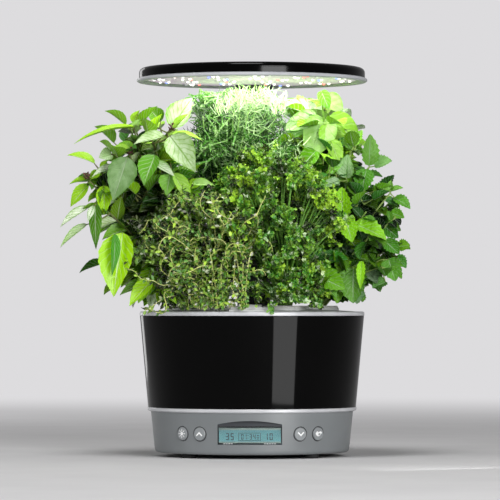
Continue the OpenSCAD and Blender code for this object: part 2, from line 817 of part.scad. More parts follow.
module thai_basil() plant(0, "#6f9a3c", 26, 17, 2, 26, 18, 1.8);
module thyme() plant(1, "#7f8f45", 30, 13, 2, 15, 8, 1.2);
module curly_parsley() plant(2, "#3f7a26", 26, 16, 2, 16, 14, 1.4);
module dill() plant(3, "#9dbf6a", 20, 14, 3, 22, 6, 1.3);
module sweet_basil() plant(4, "#8cc63c", 15, 16, 2, 24, 22, 1.8);
module mint() plant(5, "#4f8a2d", 24, 16, 2, 20, 17, 1.6);

base_housing();
bottom_plate();
rubber_feet();
base_screws();
lower_trim_ring();
gloss_wrap();
rim_ring();
water_bowl();
grow_deck();
fill_flap();
flap_pin();
float_guide();
water_float();
pump_housing();
pump_impeller();
impeller_shaft();
pump_filter();
pump_coupler();
riser_tube();
water_manifold();
control_board();
board_parts();
lcd_module();
display_bezel();
display_lens();
switch_bracket();
button_switches();
button_light();
button_up();
button_down();
button_food();
dc_jack();
post_sleeve();
post_collar();
light_post();
hood_hub();
hood_cap();
hood_ring();
led_board();
leds_white();
leds_red();
leds_blue();
hood_screws();
grow_sponges();
pod_labels();
for (i = [1:6])
    grow_basket(POD_ANGLES[i - 1]);
thai_basil();
thyme();
curly_parsley();
dill();
sweet_basil();
mint();
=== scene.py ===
import math
import random

import bpy
import numpy as np
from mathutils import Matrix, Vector


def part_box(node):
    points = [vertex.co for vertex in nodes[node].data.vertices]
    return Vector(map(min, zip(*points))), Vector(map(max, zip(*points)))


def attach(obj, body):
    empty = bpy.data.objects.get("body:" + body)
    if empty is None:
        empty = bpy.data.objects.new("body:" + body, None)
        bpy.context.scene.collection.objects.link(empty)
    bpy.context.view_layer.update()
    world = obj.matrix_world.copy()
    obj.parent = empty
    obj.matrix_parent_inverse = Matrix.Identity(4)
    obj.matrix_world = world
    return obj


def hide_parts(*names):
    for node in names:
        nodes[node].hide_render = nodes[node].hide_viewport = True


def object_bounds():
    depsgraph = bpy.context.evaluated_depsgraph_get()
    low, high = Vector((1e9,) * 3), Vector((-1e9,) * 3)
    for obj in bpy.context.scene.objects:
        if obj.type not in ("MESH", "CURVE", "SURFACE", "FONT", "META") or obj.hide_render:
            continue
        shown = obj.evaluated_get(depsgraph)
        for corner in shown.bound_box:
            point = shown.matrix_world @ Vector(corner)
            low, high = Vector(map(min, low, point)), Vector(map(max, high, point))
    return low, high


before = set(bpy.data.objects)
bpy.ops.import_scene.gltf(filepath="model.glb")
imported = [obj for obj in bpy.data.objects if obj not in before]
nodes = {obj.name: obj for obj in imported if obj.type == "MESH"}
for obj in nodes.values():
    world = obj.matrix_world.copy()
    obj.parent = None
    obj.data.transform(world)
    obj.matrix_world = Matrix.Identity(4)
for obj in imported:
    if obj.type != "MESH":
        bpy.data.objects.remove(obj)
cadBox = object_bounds()
scene = bpy.context.scene
scene.view_settings.view_transform = "Standard"
print("frame loaded:", len(nodes), "nodes")


def hexToLinear(text):
    parts = [int(text[i:i + 2], 16) / 255 for i in (1, 3, 5)]
    return [p / 12.92 if p <= 0.04045 else ((p + 0.055) / 1.055) ** 2.4 for p in parts] + [1.0]


def feed(tree, node, inputs):
    # an input takes a value, a hex colour, a socket, or another node, whose first output is meant
    for name, value in inputs.items():
        if isinstance(value, bpy.types.Node):
            value = value.outputs[0]
        if isinstance(value, bpy.types.NodeSocket):
            tree.links.new(value, node.inputs[name])
        else:
            node.inputs[name].default_value = hexToLinear(value) if isinstance(value, str) else value


def addNode(tree, kind, inputs=None, stops=None, **settings):
    # stops are a ramp's positions and hex colours
    made = tree.nodes.new("ShaderNode" + kind)
    for name, value in settings.items():
        setattr(made, name, value)
    feed(tree, made, inputs or {})
    if stops:
        while len(made.color_ramp.elements) < len(stops):
            made.color_ramp.elements.new(0.5)
        for element, (position, colour) in zip(made.color_ramp.elements, stops):
            element.position = position
            element.color = hexToLinear(colour)
    return made


# camera

camera = {
    "distance": 3.8,      # from the bowl's centre line, in metres
    "height": 0.1485,
    "azimuth": 1.3,       # degrees to the right of straight on
    "turnLeft": 2 / 3800,  # radians
    "tiltUp": 57 / 3800,
    "lens": 273.6,
    "sensor": 36,
    "farEnd": 60,
}
cameraData = bpy.data.cameras.new("camera")
cameraData.lens = camera["lens"]
cameraData.sensor_width = camera["sensor"]
cameraData.clip_end = camera["farEnd"]
cameraObject = bpy.data.objects.new("camera", cameraData)
scene.collection.objects.link(cameraObject)
turn, distance = math.radians(camera["azimuth"]), camera["distance"]
cameraObject.location = (distance * math.sin(turn), -distance * math.cos(turn), camera["height"])
cameraObject.rotation_euler = (math.pi / 2 + camera["tiltUp"], 0, turn + camera["turnLeft"])
scene.camera = cameraObject

# studio: a pale floor that fades into a pale surround, and soft lamps

studio = {
    "surround": "#dddcde",
    "floor": "#dcdbdc",
    "fill": 0.15,         # level of the even light from all sides
    "mirrored": 0.2,      # share of the surround that reflections see
    "fadeStart": 0.5,     # metres from the object
    "fadeEnd": 2.6,
    "floorRings": [0.0, 0.12, 0.2, 0.3, 0.5, 0.9, 1.6, 3.0, 6.0, 14.0],
    "floorSides": 48,
}


def seenDirectly(tree):
    # 1 for the camera's rays and a share of it for reflections
    path = addNode(tree, "LightPath")
    glossy = addNode(tree, "Math", {0: path.outputs["Is Glossy Ray"], 1: studio["mirrored"]},
                     operation="MULTIPLY")
    return path, addNode(tree, "Math", {0: path.outputs["Is Camera Ray"], 1: glossy}, operation="MAXIMUM")


world = bpy.data.worlds.new("studio")
scene.world = world
world.use_nodes = True
tree = world.node_tree
tree.nodes.clear()
path, seen = seenDirectly(tree)
seen = addNode(tree, "Math", {0: seen, 1: path.outputs["Is Transmission Ray"]}, operation="MAXIMUM")
even = addNode(tree, "Background", {"Color": "#ffffff", "Strength": studio["fill"]})
shown = addNode(tree, "Background", {"Color": studio["surround"], "Strength": 1.0})
mixed = addNode(tree, "MixShader", {0: seen, 1: even, 2: shown})
addNode(tree, "OutputWorld", {"Surface": mixed})

sides = studio["floorSides"]
floorPoints = [(0, 0, 0)]
floorFaces = []
for r, radius in enumerate(studio["floorRings"][1:]):
    for k in range(sides):
        angle = k * math.tau / sides
        floorPoints.append((radius * math.cos(angle), radius * math.sin(angle), 0))
        here, beside = 1 + sides * r + k, 1 + sides * r + (k + 1) % sides
        floorFaces.append((0, here, beside) if r == 0 else (here - sides, here, beside, beside - sides))
floorMesh = bpy.data.meshes.new("floor")
floorMesh.from_pydata(floorPoints, [], floorFaces)
floor = bpy.data.objects.new("floor", floorMesh)
scene.collection.objects.link(floor)
floorMaterial = bpy.data.materials.new("painted_board")
floorMaterial.use_nodes = True
tree = floorMaterial.node_tree
surface = tree.nodes["Principled BSDF"]
spot = addNode(tree, "TexCoord").outputs["Object"]
mottle = addNode(tree, "TexNoise", {"Vector": spot, "Scale": 9.0, "Detail": 3.0})
paint = addNode(tree, "ValToRGB", {"Fac": mottle}, stops=[(0.3, "#d6d5d6"), (0.7, studio["floor"])])
feed(tree, surface, {"Base Color": paint, "Roughness": 0.75, "Specular IOR Level": 0.2})
away = addNode(tree, "VectorMath", {0: spot}, operation="LENGTH")
whitening = addNode(tree, "MapRange", {"Value": away.outputs["Value"], "From Min": studio["fadeStart"],
                                  "From Max": studio["fadeEnd"]}, interpolation_type="SMOOTHSTEP")
path, seen = seenDirectly(tree)
share = addNode(tree, "Math", {0: whitening, 1: seen}, operation="MULTIPLY")
glow = addNode(tree, "Emission", {"Color": studio["surround"], "Strength": 1.0})
blended = addNode(tree, "MixShader", {0: share, 1: surface, 2: glow})
feed(tree, tree.nodes["Material Output"], {"Surface": blended})
floorMesh.materials.append(floorMaterial)

# azimuth 0 is the camera's side and grows to its right; sizes in metres, power in watts
lamps = [
    {"name": "keySoftbox", "azimuth": 23, "away": 2.5, "height": 0.62, "size": (1.1, 0.7), "watts": 42},
    {"name": "leftSoftbox", "azimuth": -62, "away": 2.4, "height": 0.7, "size": (1.1, 1.4), "watts": 17,
     "noGloss": True},
    {"name": "topSoftbox", "azimuth": -10, "away": 0.7, "height": 2.2, "size": (0.7, 0.6), "watts": 18},
    {"name": "edgeStrip", "azimuth": -152, "away": 1.6, "height": 0.35, "size": (0.3, 1.0), "watts": 1.7},
    {"name": "lowCard", "azimuth": 31, "away": 0.37, "height": 0.062, "size": (0.14, 0.13), "watts": 0.5,
     "onlyGloss": True},
]
aimHeight = 0.2


def areaLamp(name, shape, size, watts):
    light = bpy.data.lights.new(name, "AREA")
    light.shape = shape
    light.size = size
    light.energy = watts
    holder = bpy.data.objects.new(name, light)
    scene.collection.objects.link(holder)
    holder.visible_camera = False
    return holder


for lamp in lamps:
    holder = areaLamp(lamp["name"], "RECTANGLE", lamp["size"][0], lamp["watts"])
    holder.data.size_y = lamp["size"][1]
    side = math.radians(lamp["azimuth"])
    holder.location = (lamp["away"] * math.sin(side), -lamp["away"] * math.cos(side), lamp["height"])
    target = Vector((0, 0, lamp["height"] if lamp.get("onlyGloss") else aimHeight))
    holder.rotation_euler = (target - holder.location).to_track_quat("-Z", "Y").to_euler()
    holder.visible_diffuse = not lamp.get("onlyGloss")
    holder.visible_glossy = not lamp.get("noGloss")
print("studio lit")


def startMaterial(name):
    material = bpy.data.materials.new(name)
    material.use_nodes = True
    tree = material.node_tree
    return material, tree, tree.nodes["Principled BSDF"], addNode(tree, "TexCoord").outputs["Object"]


def mouldedPlastic(name, tone, shade, roughness, grainMm=0.0, grainDeep=0.0, gloss=0.5, driftMm=40,
                   smear=0.08):
    # pigment that drifts a little, a spark-eroded grain, and patches that hands have dulled
    material, tree, surface, place = startMaterial(name)
    drift = addNode(tree, "TexNoise", {"Vector": place, "Scale": 1000 / driftMm, "Detail": 4.0})
    pigment = addNode(tree, "ValToRGB", {"Fac": drift}, stops=[(0.3, shade), (0.7, tone)])
    wiped = addNode(tree, "TexNoise", {"Vector": place, "Scale": 1000 / 25, "Detail": 6.0, "Roughness": 0.7})
    dulled = addNode(tree, "MapRange", {"Value": wiped, "From Min": 0.35, "From Max": 0.7,
                                        "To Min": roughness, "To Max": roughness + smear})
    feed(tree, surface, {"Base Color": pigment, "Roughness": dulled, "IOR": 1.53,
                         "Specular IOR Level": gloss})
    if grainMm:
        grain = addNode(tree, "TexNoise", {"Vector": place, "Scale": 1000 / grainMm, "Detail": 2.0})
        bump = addNode(tree, "Bump", {"Height": grain, "Strength": 0.6, "Distance": grainDeep / 1000})
        feed(tree, surface, {"Normal": bump})
    return material


def metalFinish(name, tone, shade, roughness, brushMm, stretch):
    # brushing lines run across the stretch axis and scatter the light along it
    material, tree, surface, place = startMaterial(name)
    pulled = addNode(tree, "Mapping", {"Vector": place, "Scale": stretch})
    lines = addNode(tree, "TexNoise", {"Vector": pulled, "Scale": 1000 / brushMm, "Detail": 4.0})
    oxide = addNode(tree, "ValToRGB", {"Fac": lines}, stops=[(0.3, shade), (0.7, tone)])
    worn = addNode(tree, "MapRange", {"Value": lines, "To Min": roughness - 0.06, "To Max": roughness + 0.08})
    bump = addNode(tree, "Bump", {"Height": lines, "Strength": 0.3, "Distance": 0.00005})
    feed(tree, surface, {"Base Color": oxide, "Roughness": worn, "Normal": bump, "Metallic": 1.0})
    return material


def speckled(name, low, high, perMetre, detail, roughness, highAt=0.7):
    # ink, film, card or cast silicone, cloudy at the size of its flecks
    material, tree, surface, place = startMaterial(name)
    fleck = addNode(tree, "TexNoise", {"Vector": place, "Scale": perMetre, "Detail": detail})
    tone = addNode(tree, "ValToRGB", {"Fac": fleck}, stops=[(0.3, low), (highAt, high)])
    feed(tree, surface, {"Base Color": tone, "Roughness": roughness})
    return material, tree, surface, fleck


# housings: ABS throughout; the grain is 0.4 mm in the tool but drawn at 1 mm so that it shows
satinGreyAbs = mouldedPlastic("satin_grey_abs", "#7d8183", "#75797b", 0.36, 1.0, 0.03, driftMm=90)
darkAbs = mouldedPlastic("dark_abs", "#2b2d30", "#242629", 0.5, 1.2, 0.04)
glossBlackAbs = mouldedPlastic("gloss_black_abs", "#030303", "#020202", 0.05, gloss=0.07, smear=0.02)
hoodBlackAbs = mouldedPlastic("hood_black_abs", "#030303", "#020202", 0.09, gloss=0.09, smear=0.04)
satinBlackAbs = mouldedPlastic("satin_black_abs", "#17181a", "#111214", 0.38, 0.9, 0.02)
paleAbs = mouldedPlastic("pale_abs", "#d8d9d8", "#cfd0cf", 0.42, 1.1, 0.03)
whiteAbs = mouldedPlastic("white_abs", "#e6e5e0", "#dcdbd6", 0.45, 1.1, 0.03)
buttonGrey = mouldedPlastic("button_grey_abs", "#8d9193", "#84888a", 0.4, 0.8, 0.02)
displayDark = mouldedPlastic("display_dark_abs", "#3b3f44", "#34373c", 0.3, gloss=0.4)
# metallised ABS: flakes in the paint give a satin silver, not a mirror
silverAbs = mouldedPlastic("satin_silver_abs", "#c9cacd", "#bfc0c4", 0.27, 0.8, 0.01, gloss=0.7, driftMm=18)
hoodSilver = mouldedPlastic("hood_silver_abs", "#b9bbbe", "#b0b2b6", 0.3, 0.8, 0.01, gloss=0.6, driftMm=18)
# nitrile rubber: dull, with a dusty bloom
blackRubber = mouldedPlastic("black_rubber", "#1a1a1b", "#121213", 0.75, 1.5, 0.08, gloss=0.3, driftMm=6)
# moulded epoxy of chips, and the float's closed-cell foam
chipBlack = mouldedPlastic("chip_black_epoxy", "#1c1d1f", "#141516", 0.55, 0.5, 0.02, driftMm=5)
orangeFoam = mouldedPlastic("orange_foam", "#dd5a2c", "#c94d24", 0.8, 1.4, 0.25, gloss=0.2, driftMm=5)
# anodised aluminium post with fine lines along its length, and plated screws and pins
anodisedPost = metalFinish("anodised_post", "#8e9294", "#7f8385", 0.36, 0.6, (1, 1, 0.04))
zincSteel = metalFinish("zinc_plated_steel", "#c3c5c8", "#aeb1b5", 0.3, 0.8, (1, 1, 1))

# display lens: clear, with a haze of dust
clearLens, tree, surface, place = startMaterial("clear_acrylic")
dust = addNode(tree, "TexNoise", {"Vector": place, "Scale": 400.0, "Detail": 4.0})
haze = addNode(tree, "MapRange", {"Value": dust, "From Min": 0.5, "From Max": 0.8,
                                  "To Min": 0.01, "To Max": 0.08})
tint = addNode(tree, "ValToRGB", {"Fac": dust}, stops=[(0.4, "#f6fbfa"), (0.8, "#eef5f3")])
feed(tree, surface, {"Base Color": tint, "Roughness": haze, "Transmission Weight": 1.0, "IOR": 1.49})

# silicone tube: milky, lets some light through
clearTube, tree, surface, _ = speckled("silicone_tube", "#dfe6e4", "#eef2f1", 220.0, 3.0, 0.3)
feed(tree, surface, {"Transmission Weight": 0.7, "IOR": 1.41})

# die-cut card rings over the pods, with paper fibre
labelCard, tree, surface, pulp = speckled("label_card", "#e3e2dc", "#efeee9", 900.0, 5.0, 0.85)
fuzz = addNode(tree, "Bump", {"Height": pulp, "Strength": 0.4, "Distance": 0.00006})
feed(tree, surface, {"Normal": fuzz})

# screen printing: dark LCD ink, grey film, and white ink that covers well
lcdInk = speckled("lcd_ink", "#10303a", "#183c46", 500.0, 2.0, 0.5)[0]
filmGrey = speckled("printed_film", "#7f908b", "#899993", 900.0, 3.0, 0.4)[0]
padInk = speckled("white_pad_ink", "#e9eaea", "#f7f7f7", 1200.0, 3.0, 0.45, highAt=0.6)[0]


def circuitBoard(name, mask, track, pitchMm, roughness):
    # solder mask over etched copper: a net of straight tracks shows through a shade lighter
    material, tree, surface, place = startMaterial(name)
    tracks = addNode(tree, "TexBrick", {
        "Vector": place, "Scale": 1000 / pitchMm, "Color1": mask, "Color2": mask, "Mortar": track,
        "Mortar Size": 0.03, "Mortar Smooth": 0.1, "Brick Width": 0.9, "Row Height": 0.35})
    raised = addNode(tree, "Bump", {"Height": tracks.outputs["Fac"], "Strength": 0.4, "Distance": 0.00004})
    feed(tree, surface, {"Base Color": tracks, "Normal": raised, "Roughness": roughness})
    return material


greenBoard = circuitBoard("green_solder_mask", "#1f6338", "#3a8552", 7, 0.35)
greyBoard = circuitBoard("grey_solder_mask", "#e6d6e8", "#ece0ee", 11, 0.45)
# painted glow: the mask is given a faint emission of its own, standing in for light from its chips, and a
# pinkish tint that offsets the green light bounced from the plants
paintedGlowSurface = greyBoard.node_tree.nodes["Principled BSDF"]
feed(greyBoard.node_tree, paintedGlowSurface, {"Emission Color": "#f2d8f4", "Emission Strength": 0.28})

# reflective LCD: teal glass over a pixel grid, lit a little from behind, with painted shade that darkens it
# towards the top, under its frame
lcdTeal, tree, surface, place = startMaterial("lcd_glass")
upright = addNode(tree, "Mapping", {"Vector": place, "Rotation": (math.pi / 2, 0, 0)})
grid = addNode(tree, "TexBrick", {
    "Vector": upright, "Scale": 1000 / 0.9, "Color1": "#6aa6ad", "Color2": "#66a2aa", "Mortar": "#5f9aa2",
    "Mortar Size": 0.04, "Brick Width": 1.0, "Row Height": 1.0, "Mortar Smooth": 0.2}, offset=0.0)
# painted shade: the grid darkens towards the window's top
height = addNode(tree, "SeparateXYZ", {"Vector": place})
shaded = addNode(tree, "MapRange", {"Value": height.outputs["Z"], "From Min": 0.0155, "From Max": 0.029,
                                    "To Min": 0.98, "To Max": 0.74})
lit = addNode(tree, "VectorMath", {0: grid, "Scale": shaded}, operation="SCALE")
feed(tree, surface, {"Base Color": lit, "Emission Color": lit, "Emission Strength": 0.12, "Roughness": 0.25})

# pressed peat and coir: open pores, dark fibres
peatSponge, tree, surface, place = startMaterial("peat_sponge")
pores = addNode(tree, "TexVoronoi", {"Vector": place, "Scale": 1000 / 2.2})
fibre = addNode(tree, "TexNoise", {"Vector": place, "Scale": 600.0, "Detail": 5.0})
soil = addNode(tree, "ValToRGB", {"Fac": fibre},
               stops=[(0.3, "#463726"), (0.55, "#6b573b"), (0.75, "#8a7352")])
pitted = addNode(tree, "Bump", {"Height": pores, "Strength": 0.9, "Distance": 0.0008})
feed(tree, surface, {"Base Color": soil, "Normal": pitted, "Roughness": 0.95})


def lampChip(name, tone, core, strength):
    # silicone dome over a lit chip: hot in the middle, tinted at the rim
    material, tree, surface, _ = startMaterial(name)
    rim = addNode(tree, "LayerWeight", {"Blend": 0.35})
    colour = addNode(tree, "ValToRGB", {"Fac": rim.outputs["Facing"]}, stops=[(0.25, core), (0.8, tone)])
    feed(tree, surface, {"Base Color": colour, "Emission Color": colour, "Emission Strength": strength,
                         "Roughness": 0.3})
    return material


whiteLed = lampChip("led_white_dome", "#fff6ee", "#ffffff", 1.7)
redLed = lampChip("led_red_dome", "#ff3b30", "#ff8f86", 1.6)
blueLed = lampChip("led_blue_dome", "#3f57ff", "#8d9bff", 1.6)

finishes = {
    satinGreyAbs: ["base_housing"],
    darkAbs: ["bottom_plate", "pump_housing", "pump_filter", "dc_jack", "post_collar", "switch_bracket"],
    blackRubber: ["rubber_feet", "pump_coupler"],
    zincSteel: ["base_screws", "hood_screws", "flap_pin", "impeller_shaft"],
    silverAbs: ["lower_trim_ring", "rim_ring"],
    hoodSilver: ["hood_ring"],
    glossBlackAbs: ["gloss_wrap"],
    hoodBlackAbs: ["hood_cap"],
    paleAbs: ["water_bowl", "grow_deck", "fill_flap", "water_manifold"],
    whiteAbs: ["float_guide", "pump_impeller", "button_switches"] + [f"grow_basket_{i}" for i in range(1, 7)],
    orangeFoam: ["water_float"],
    clearTube: ["riser_tube"],
    greenBoard: ["control_board"],
    chipBlack: ["board_parts"],
    lcdTeal: ["lcd_module"],
    displayDark: ["display_bezel"],
    clearLens: ["display_lens"],
    buttonGrey: ["button_light", "button_up", "button_down", "button_food"],
    satinBlackAbs: ["post_sleeve", "hood_hub"],
    anodisedPost: ["light_post"],
    greyBoard: ["led_board"],
    peatSponge: ["grow_sponges"],
    labelCard: ["pod_labels"],
    whiteLed: ["leds_white"],
    redLed: ["leds_red"],
    blueLed: ["leds_blue"],
}
for material, names in finishes.items():
    for name in names:
        nodes[name].data.materials.clear()
        nodes[name].data.materials.append(material)
print("finishes on", sum(len(names) for names in finishes.values()), "nodes")


def addPiece(name, points, faces, materials, body, sharpDegrees=40):
    mesh = bpy.data.meshes.new(name)
    mesh.from_pydata(points, [], faces)
    mesh.validate()
    mesh.shade_smooth()
    mesh.set_sharp_from_angle(angle=math.radians(sharpDegrees))
    for material in materials:
        mesh.materials.append(material)
    piece = bpy.data.objects.new(name, mesh)
    scene.collection.objects.link(piece)
    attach(piece, body)
    return piece


def addPlate(points, faces, outline, place, thick):
    # a thin flat plate from a closed outline; place turns (across, up, out) into the frame
    first, count = len(points), len(outline)
    for out in (0, thick):
        points.extend(tuple(place(x, y, out)) for x, y in outline)
    faces.append([first + k for k in range(count)][::-1])
    faces.append([first + count + k for k in range(count)])
    for k in range(count):
        n = (k + 1) % count
        faces.append([first + k, first + n, first + count + n, first + count + k])


def facingRoom(left, bottom, front):
    # places a plate, drawn in mm from its lower left corner, on a plane that faces the room
    return lambda x, y, out: ((left + x) / 1000, (front - out) / 1000, (bottom + y) / 1000)


def bar(wide, tall):
    return [(0, 0), (wide, 0), (wide, tall), (0, tall)]


# LCD figures of seven strokes each, printed under the lens, and bars: the frame round the clock, its colon
# and three short marks after it; in mm, each from its left lower corner

figures = {
    "strokes": {"0": "abcdef", "1": "bc", "3": "abgcd", "4": "fgbc", "5": "afgcd"},
    "size": (3.1, 6.8),
    "stroke": 0.95,
    "miter": 0.15,        # trims the ends of upright strokes
    "frontY": -92.02,
    "thick": 0.12,
    "barThick": 0.1,
    "shown": [("3", -23.4, 18.7, 1.0), ("5", -18.8, 18.7, 1.0), ("0", -8.6, 19.2, 0.78),
              ("1", -5.6, 19.2, 0.78), ("3", -0.4, 19.2, 0.78), ("4", 3.2, 19.2, 0.78),
              ("1", 14.4, 18.7, 1.0), ("0", 19.2, 18.7, 1.0)],
    "bars": [(-11.2, 18.0, 21.8, 0.5), (-11.2, 25.3, 21.8, 0.5), (-11.2, 18.0, 0.5, 7.8),
             (10.1, 18.0, 0.5, 7.8), (-2.2, 20.2, 0.8, 0.9), (-2.2, 22.8, 0.8, 0.9), (6.7, 19.4, 2.2, 0.8),
             (6.7, 21.1, 2.2, 0.8), (6.7, 22.8, 2.2, 0.8)],
    "borders": [(-30.1, 15.9, 60.2, 1.3), (-30.1, 28.5, 60.2, 2.1)],
}


def strokeOutline(letter, wide, tall, stroke):
    half, mid, trim = stroke / 2, tall / 2, figures["miter"]
    x, y, flat = {"a": (0, tall - half, 1), "g": (0, mid, 1), "d": (0, half, 1), "f": (half, mid, 0),
                  "b": (wide - half, mid, 0), "e": (half, 0, 0), "c": (wide - half, 0, 0)}[letter]
    if flat:
        return [(x + half, y - half), (x + wide - half, y - half), (x + wide, y),
                (x + wide - half, y + half), (x + half, y + half), (x, y)]
    return [(x, y + trim), (x + half, y + half), (x + half, y + mid - half), (x, y + mid - trim),
            (x - half, y + mid - half), (x - half, y + half)]


points, faces = [], []
wide, tall = figures["size"]
for figure, left, bottom, scale in figures["shown"]:
    for letter in figures["strokes"][figure]:
        outline = strokeOutline(letter, wide * scale, tall * scale, figures["stroke"] * scale)
        addPlate(points, faces, outline, facingRoom(left, bottom, figures["frontY"]), figures["thick"])
for left, bottom, wide, tall in figures["bars"]:
    addPlate(points, faces, bar(wide, tall), facingRoom(left, bottom, figures["frontY"]), figures["barThick"])
addPiece("lcd_figures", points, faces, [lcdInk], "garden")

# printed film borders above and below the LCD's window
points, faces = [], []
for left, bottom, wide, tall in figures["borders"]:
    addPlate(points, faces, bar(wide, tall), facingRoom(left, bottom, figures["frontY"]), figures["barThick"])
addPiece("lcd_borders", points, faces, [filmGrey], "garden")

# pad printing: white marks on the buttons and two rows of dashes under the display, in mm

printing = {
    "thick": 0.06,
    "lift": 0.02,
    "z": 24.4,
    "faceRadius": 100.2,
    "dish": 0.3,          # the button's face is a shallow cone this high
    "dishRadius": 5.9,
    "wallFoot": 96.83,    # the housing's radius at its foot, and how it leans out
    "wallLean": 0.0927,
    "dash": (1.9, 0.75),
    "dashStep": 2.45,
    "dashPlace": (14.75, -92.42),
    "dashRows": [(-26.0, 4), (13.8, 5)],
}
# painted shadow rings round the buttons, in mm
painted_shadow_ring = {"inner": 6.82, "outer": 7.35, "low": 0.02, "high": 0.14, "sides": 40}

sunMarks = [[(1.8 * math.cos(a * math.tau / 16), 1.8 * math.sin(a * math.tau / 16)) for a in range(16)]]
for k in range(8):
    a = k * math.tau / 8
    along, beside = Vector((math.cos(a), math.sin(a))), Vector((-math.sin(a), math.cos(a)))
    ray = ((2.3, -0.4), (4.5, -0.3), (4.5, 0.3), (2.3, 0.4))
    sunMarks.append([tuple(along * r + beside * s) for r, s in ray])


def chevron(sign):
    corners = [(-3.6, -1.2), (-2.7, -2.2), (0, 0.4), (2.7, -2.2), (3.6, -1.2), (0, 2.2)]
    return [[(x, y * sign) for x, y in corners][::sign]]


leafMark = [[(-4.2, 0.2), (-3.2, 1.8), (-1.6, 2.5), (-0.2, 1.3), (1.2, 2.3), (3.0, 2.2), (4.4, 0.9),
             (3.0, -0.3), (1.4, -1.5), (0, -2.5), (-1.7, -2.4), (-3.3, -1.4)][::-1]]
marks = {
    "light_button": (-42, sunMarks),
    "up_button": (-29.7, chevron(1)),
    "down_button": (29.7, chevron(-1)),
    "food_button": (42, leafMark),
}
for body, (angle, outlines) in marks.items():
    a = math.radians(angle)
    out = Vector((math.sin(a), -math.cos(a), 0))
    right = Vector((math.cos(a), math.sin(a), 0))

    def onButton(x, y, lift):
        dish = printing["dish"] * (1 - min(1, math.hypot(x, y) / printing["dishRadius"]))
        radius = printing["faceRadius"] + dish + printing["lift"] + lift
        return (out * radius + right * x + Vector((0, 0, printing["z"] + y))) / 1000

    points, faces = [], []
    for outline in outlines:
        addPlate(points, faces, outline, onButton, printing["thick"])
    addPiece(body + "_mark", points, faces, [padInk], body)
    # painted shadow: a dull dark ring lies on the housing round each button, standing in for the shade in the
    # gap round it
    inner, outer, low, high = painted_shadow_ring["inner"], painted_shadow_ring["outer"], painted_shadow_ring["low"], painted_shadow_ring["high"]
    points, faces = [], []
    for k in range(painted_shadow_ring["sides"]):
        turn = k * math.tau / painted_shadow_ring["sides"]
        n = (k + 1) % painted_shadow_ring["sides"]
        for radius, lift in ((inner, low), (inner, high), (outer, high), (outer, low)):
            x, y = radius * math.cos(turn), printing["z"] + radius * math.sin(turn)
            wall = printing["wallFoot"] + printing["wallLean"] * y + lift
            points.append((out * math.sqrt(wall * wall - x * x) + right * x + Vector((0, 0, y))) / 1000)
        faces.extend([4 * k + j, 4 * n + j, 4 * n + (j + 1) % 4, 4 * k + (j + 1) % 4] for j in range(4))
    addPiece(body.replace("button", "painted_shadow_ring"), points, faces, [blackRubber], "garden")

points, faces = [], []
bottom, front = printing["dashPlace"]
for start, count in printing["dashRows"]:
    for k in range(count):
        place = facingRoom(start + printing["dashStep"] * k, bottom, front)
        addPlate(points, faces, bar(*printing["dash"]), place, printing["thick"])
addPiece("display_dashes", points, faces, [padInk], "garden")
print("display and button marks done")

# light domes: each chip's dome is drawn larger than the chip, so that the rows read from the front

dome = {"radius": 1.6, "height": 1.6, "sides": 10, "rings": 4}


def chipCentres(node):
    # one chip is one loose part of the node
    mesh = nodes[node].data
    parent = list(range(len(mesh.vertices)))

    def top(i):
        while parent[i] != i:
            parent[i] = parent[parent[i]]
            i = parent[i]
        return i

    places = {}
    for v in mesh.vertices:
        key = tuple(round(c * 20000) for c in v.co)
        parent[top(v.index)] = top(places.setdefault(key, v.index))
    for edge in mesh.edges:
        parent[top(edge.vertices[0])] = top(edge.vertices[1])
    parts = {}
    for v in mesh.vertices:
        parts.setdefault(top(v.index), []).append(v.co)
    return [sum(group, Vector()) / len(group) for group in parts.values()]


for node, material in (("leds_white", whiteLed), ("leds_red", redLed), ("leds_blue", blueLed)):
    points, faces = [], []
    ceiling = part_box(node)[1].z
    radius, height, sides = dome["radius"] / 1000, dome["height"] / 1000, dome["sides"]
    for centre in chipCentres(node):
        first = len(points)
        for ring in range(dome["rings"]):
            tilt = ring / dome["rings"] * math.pi / 2
            reach, z = radius * math.cos(tilt), ceiling - height * math.sin(tilt)
            for k in range(sides):
                a = k * math.tau / sides
                points.append((centre.x + reach * math.cos(a), centre.y + reach * math.sin(a), z))
        points.append((centre.x, centre.y, ceiling - height))
        last = len(points) - 1
        faces.append([first + k for k in range(sides)])
        for ring in range(dome["rings"] - 1):
            for k in range(sides):
                n = (k + 1) % sides
                low, high = first + ring * sides, first + (ring + 1) * sides
                faces.append([low + n, low + k, high + k, high + n])
        ring = first + (dome["rings"] - 1) * sides
        faces.extend([ring + (k + 1) % sides, ring + k, last] for k in range(sides))
    piece = addPiece(node + "_domes", points, faces, [material], "light", 80)
    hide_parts(node)

growLight = {"size": 0.18, "watts": 0.55, "colour": (1.0, 0.98, 0.96), "height": 0.3715}
growLamp = areaLamp("growLamp", "DISK", growLight["size"], growLight["watts"])
growLamp.data.color = growLight["colour"]
growLamp.location = (0, 0, growLight["height"])
growLamp.visible_glossy = False
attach(growLamp, "light")
print("grow light done")

# plants: thin closed leaves and tapering stems, gathered into one mesh for each herb


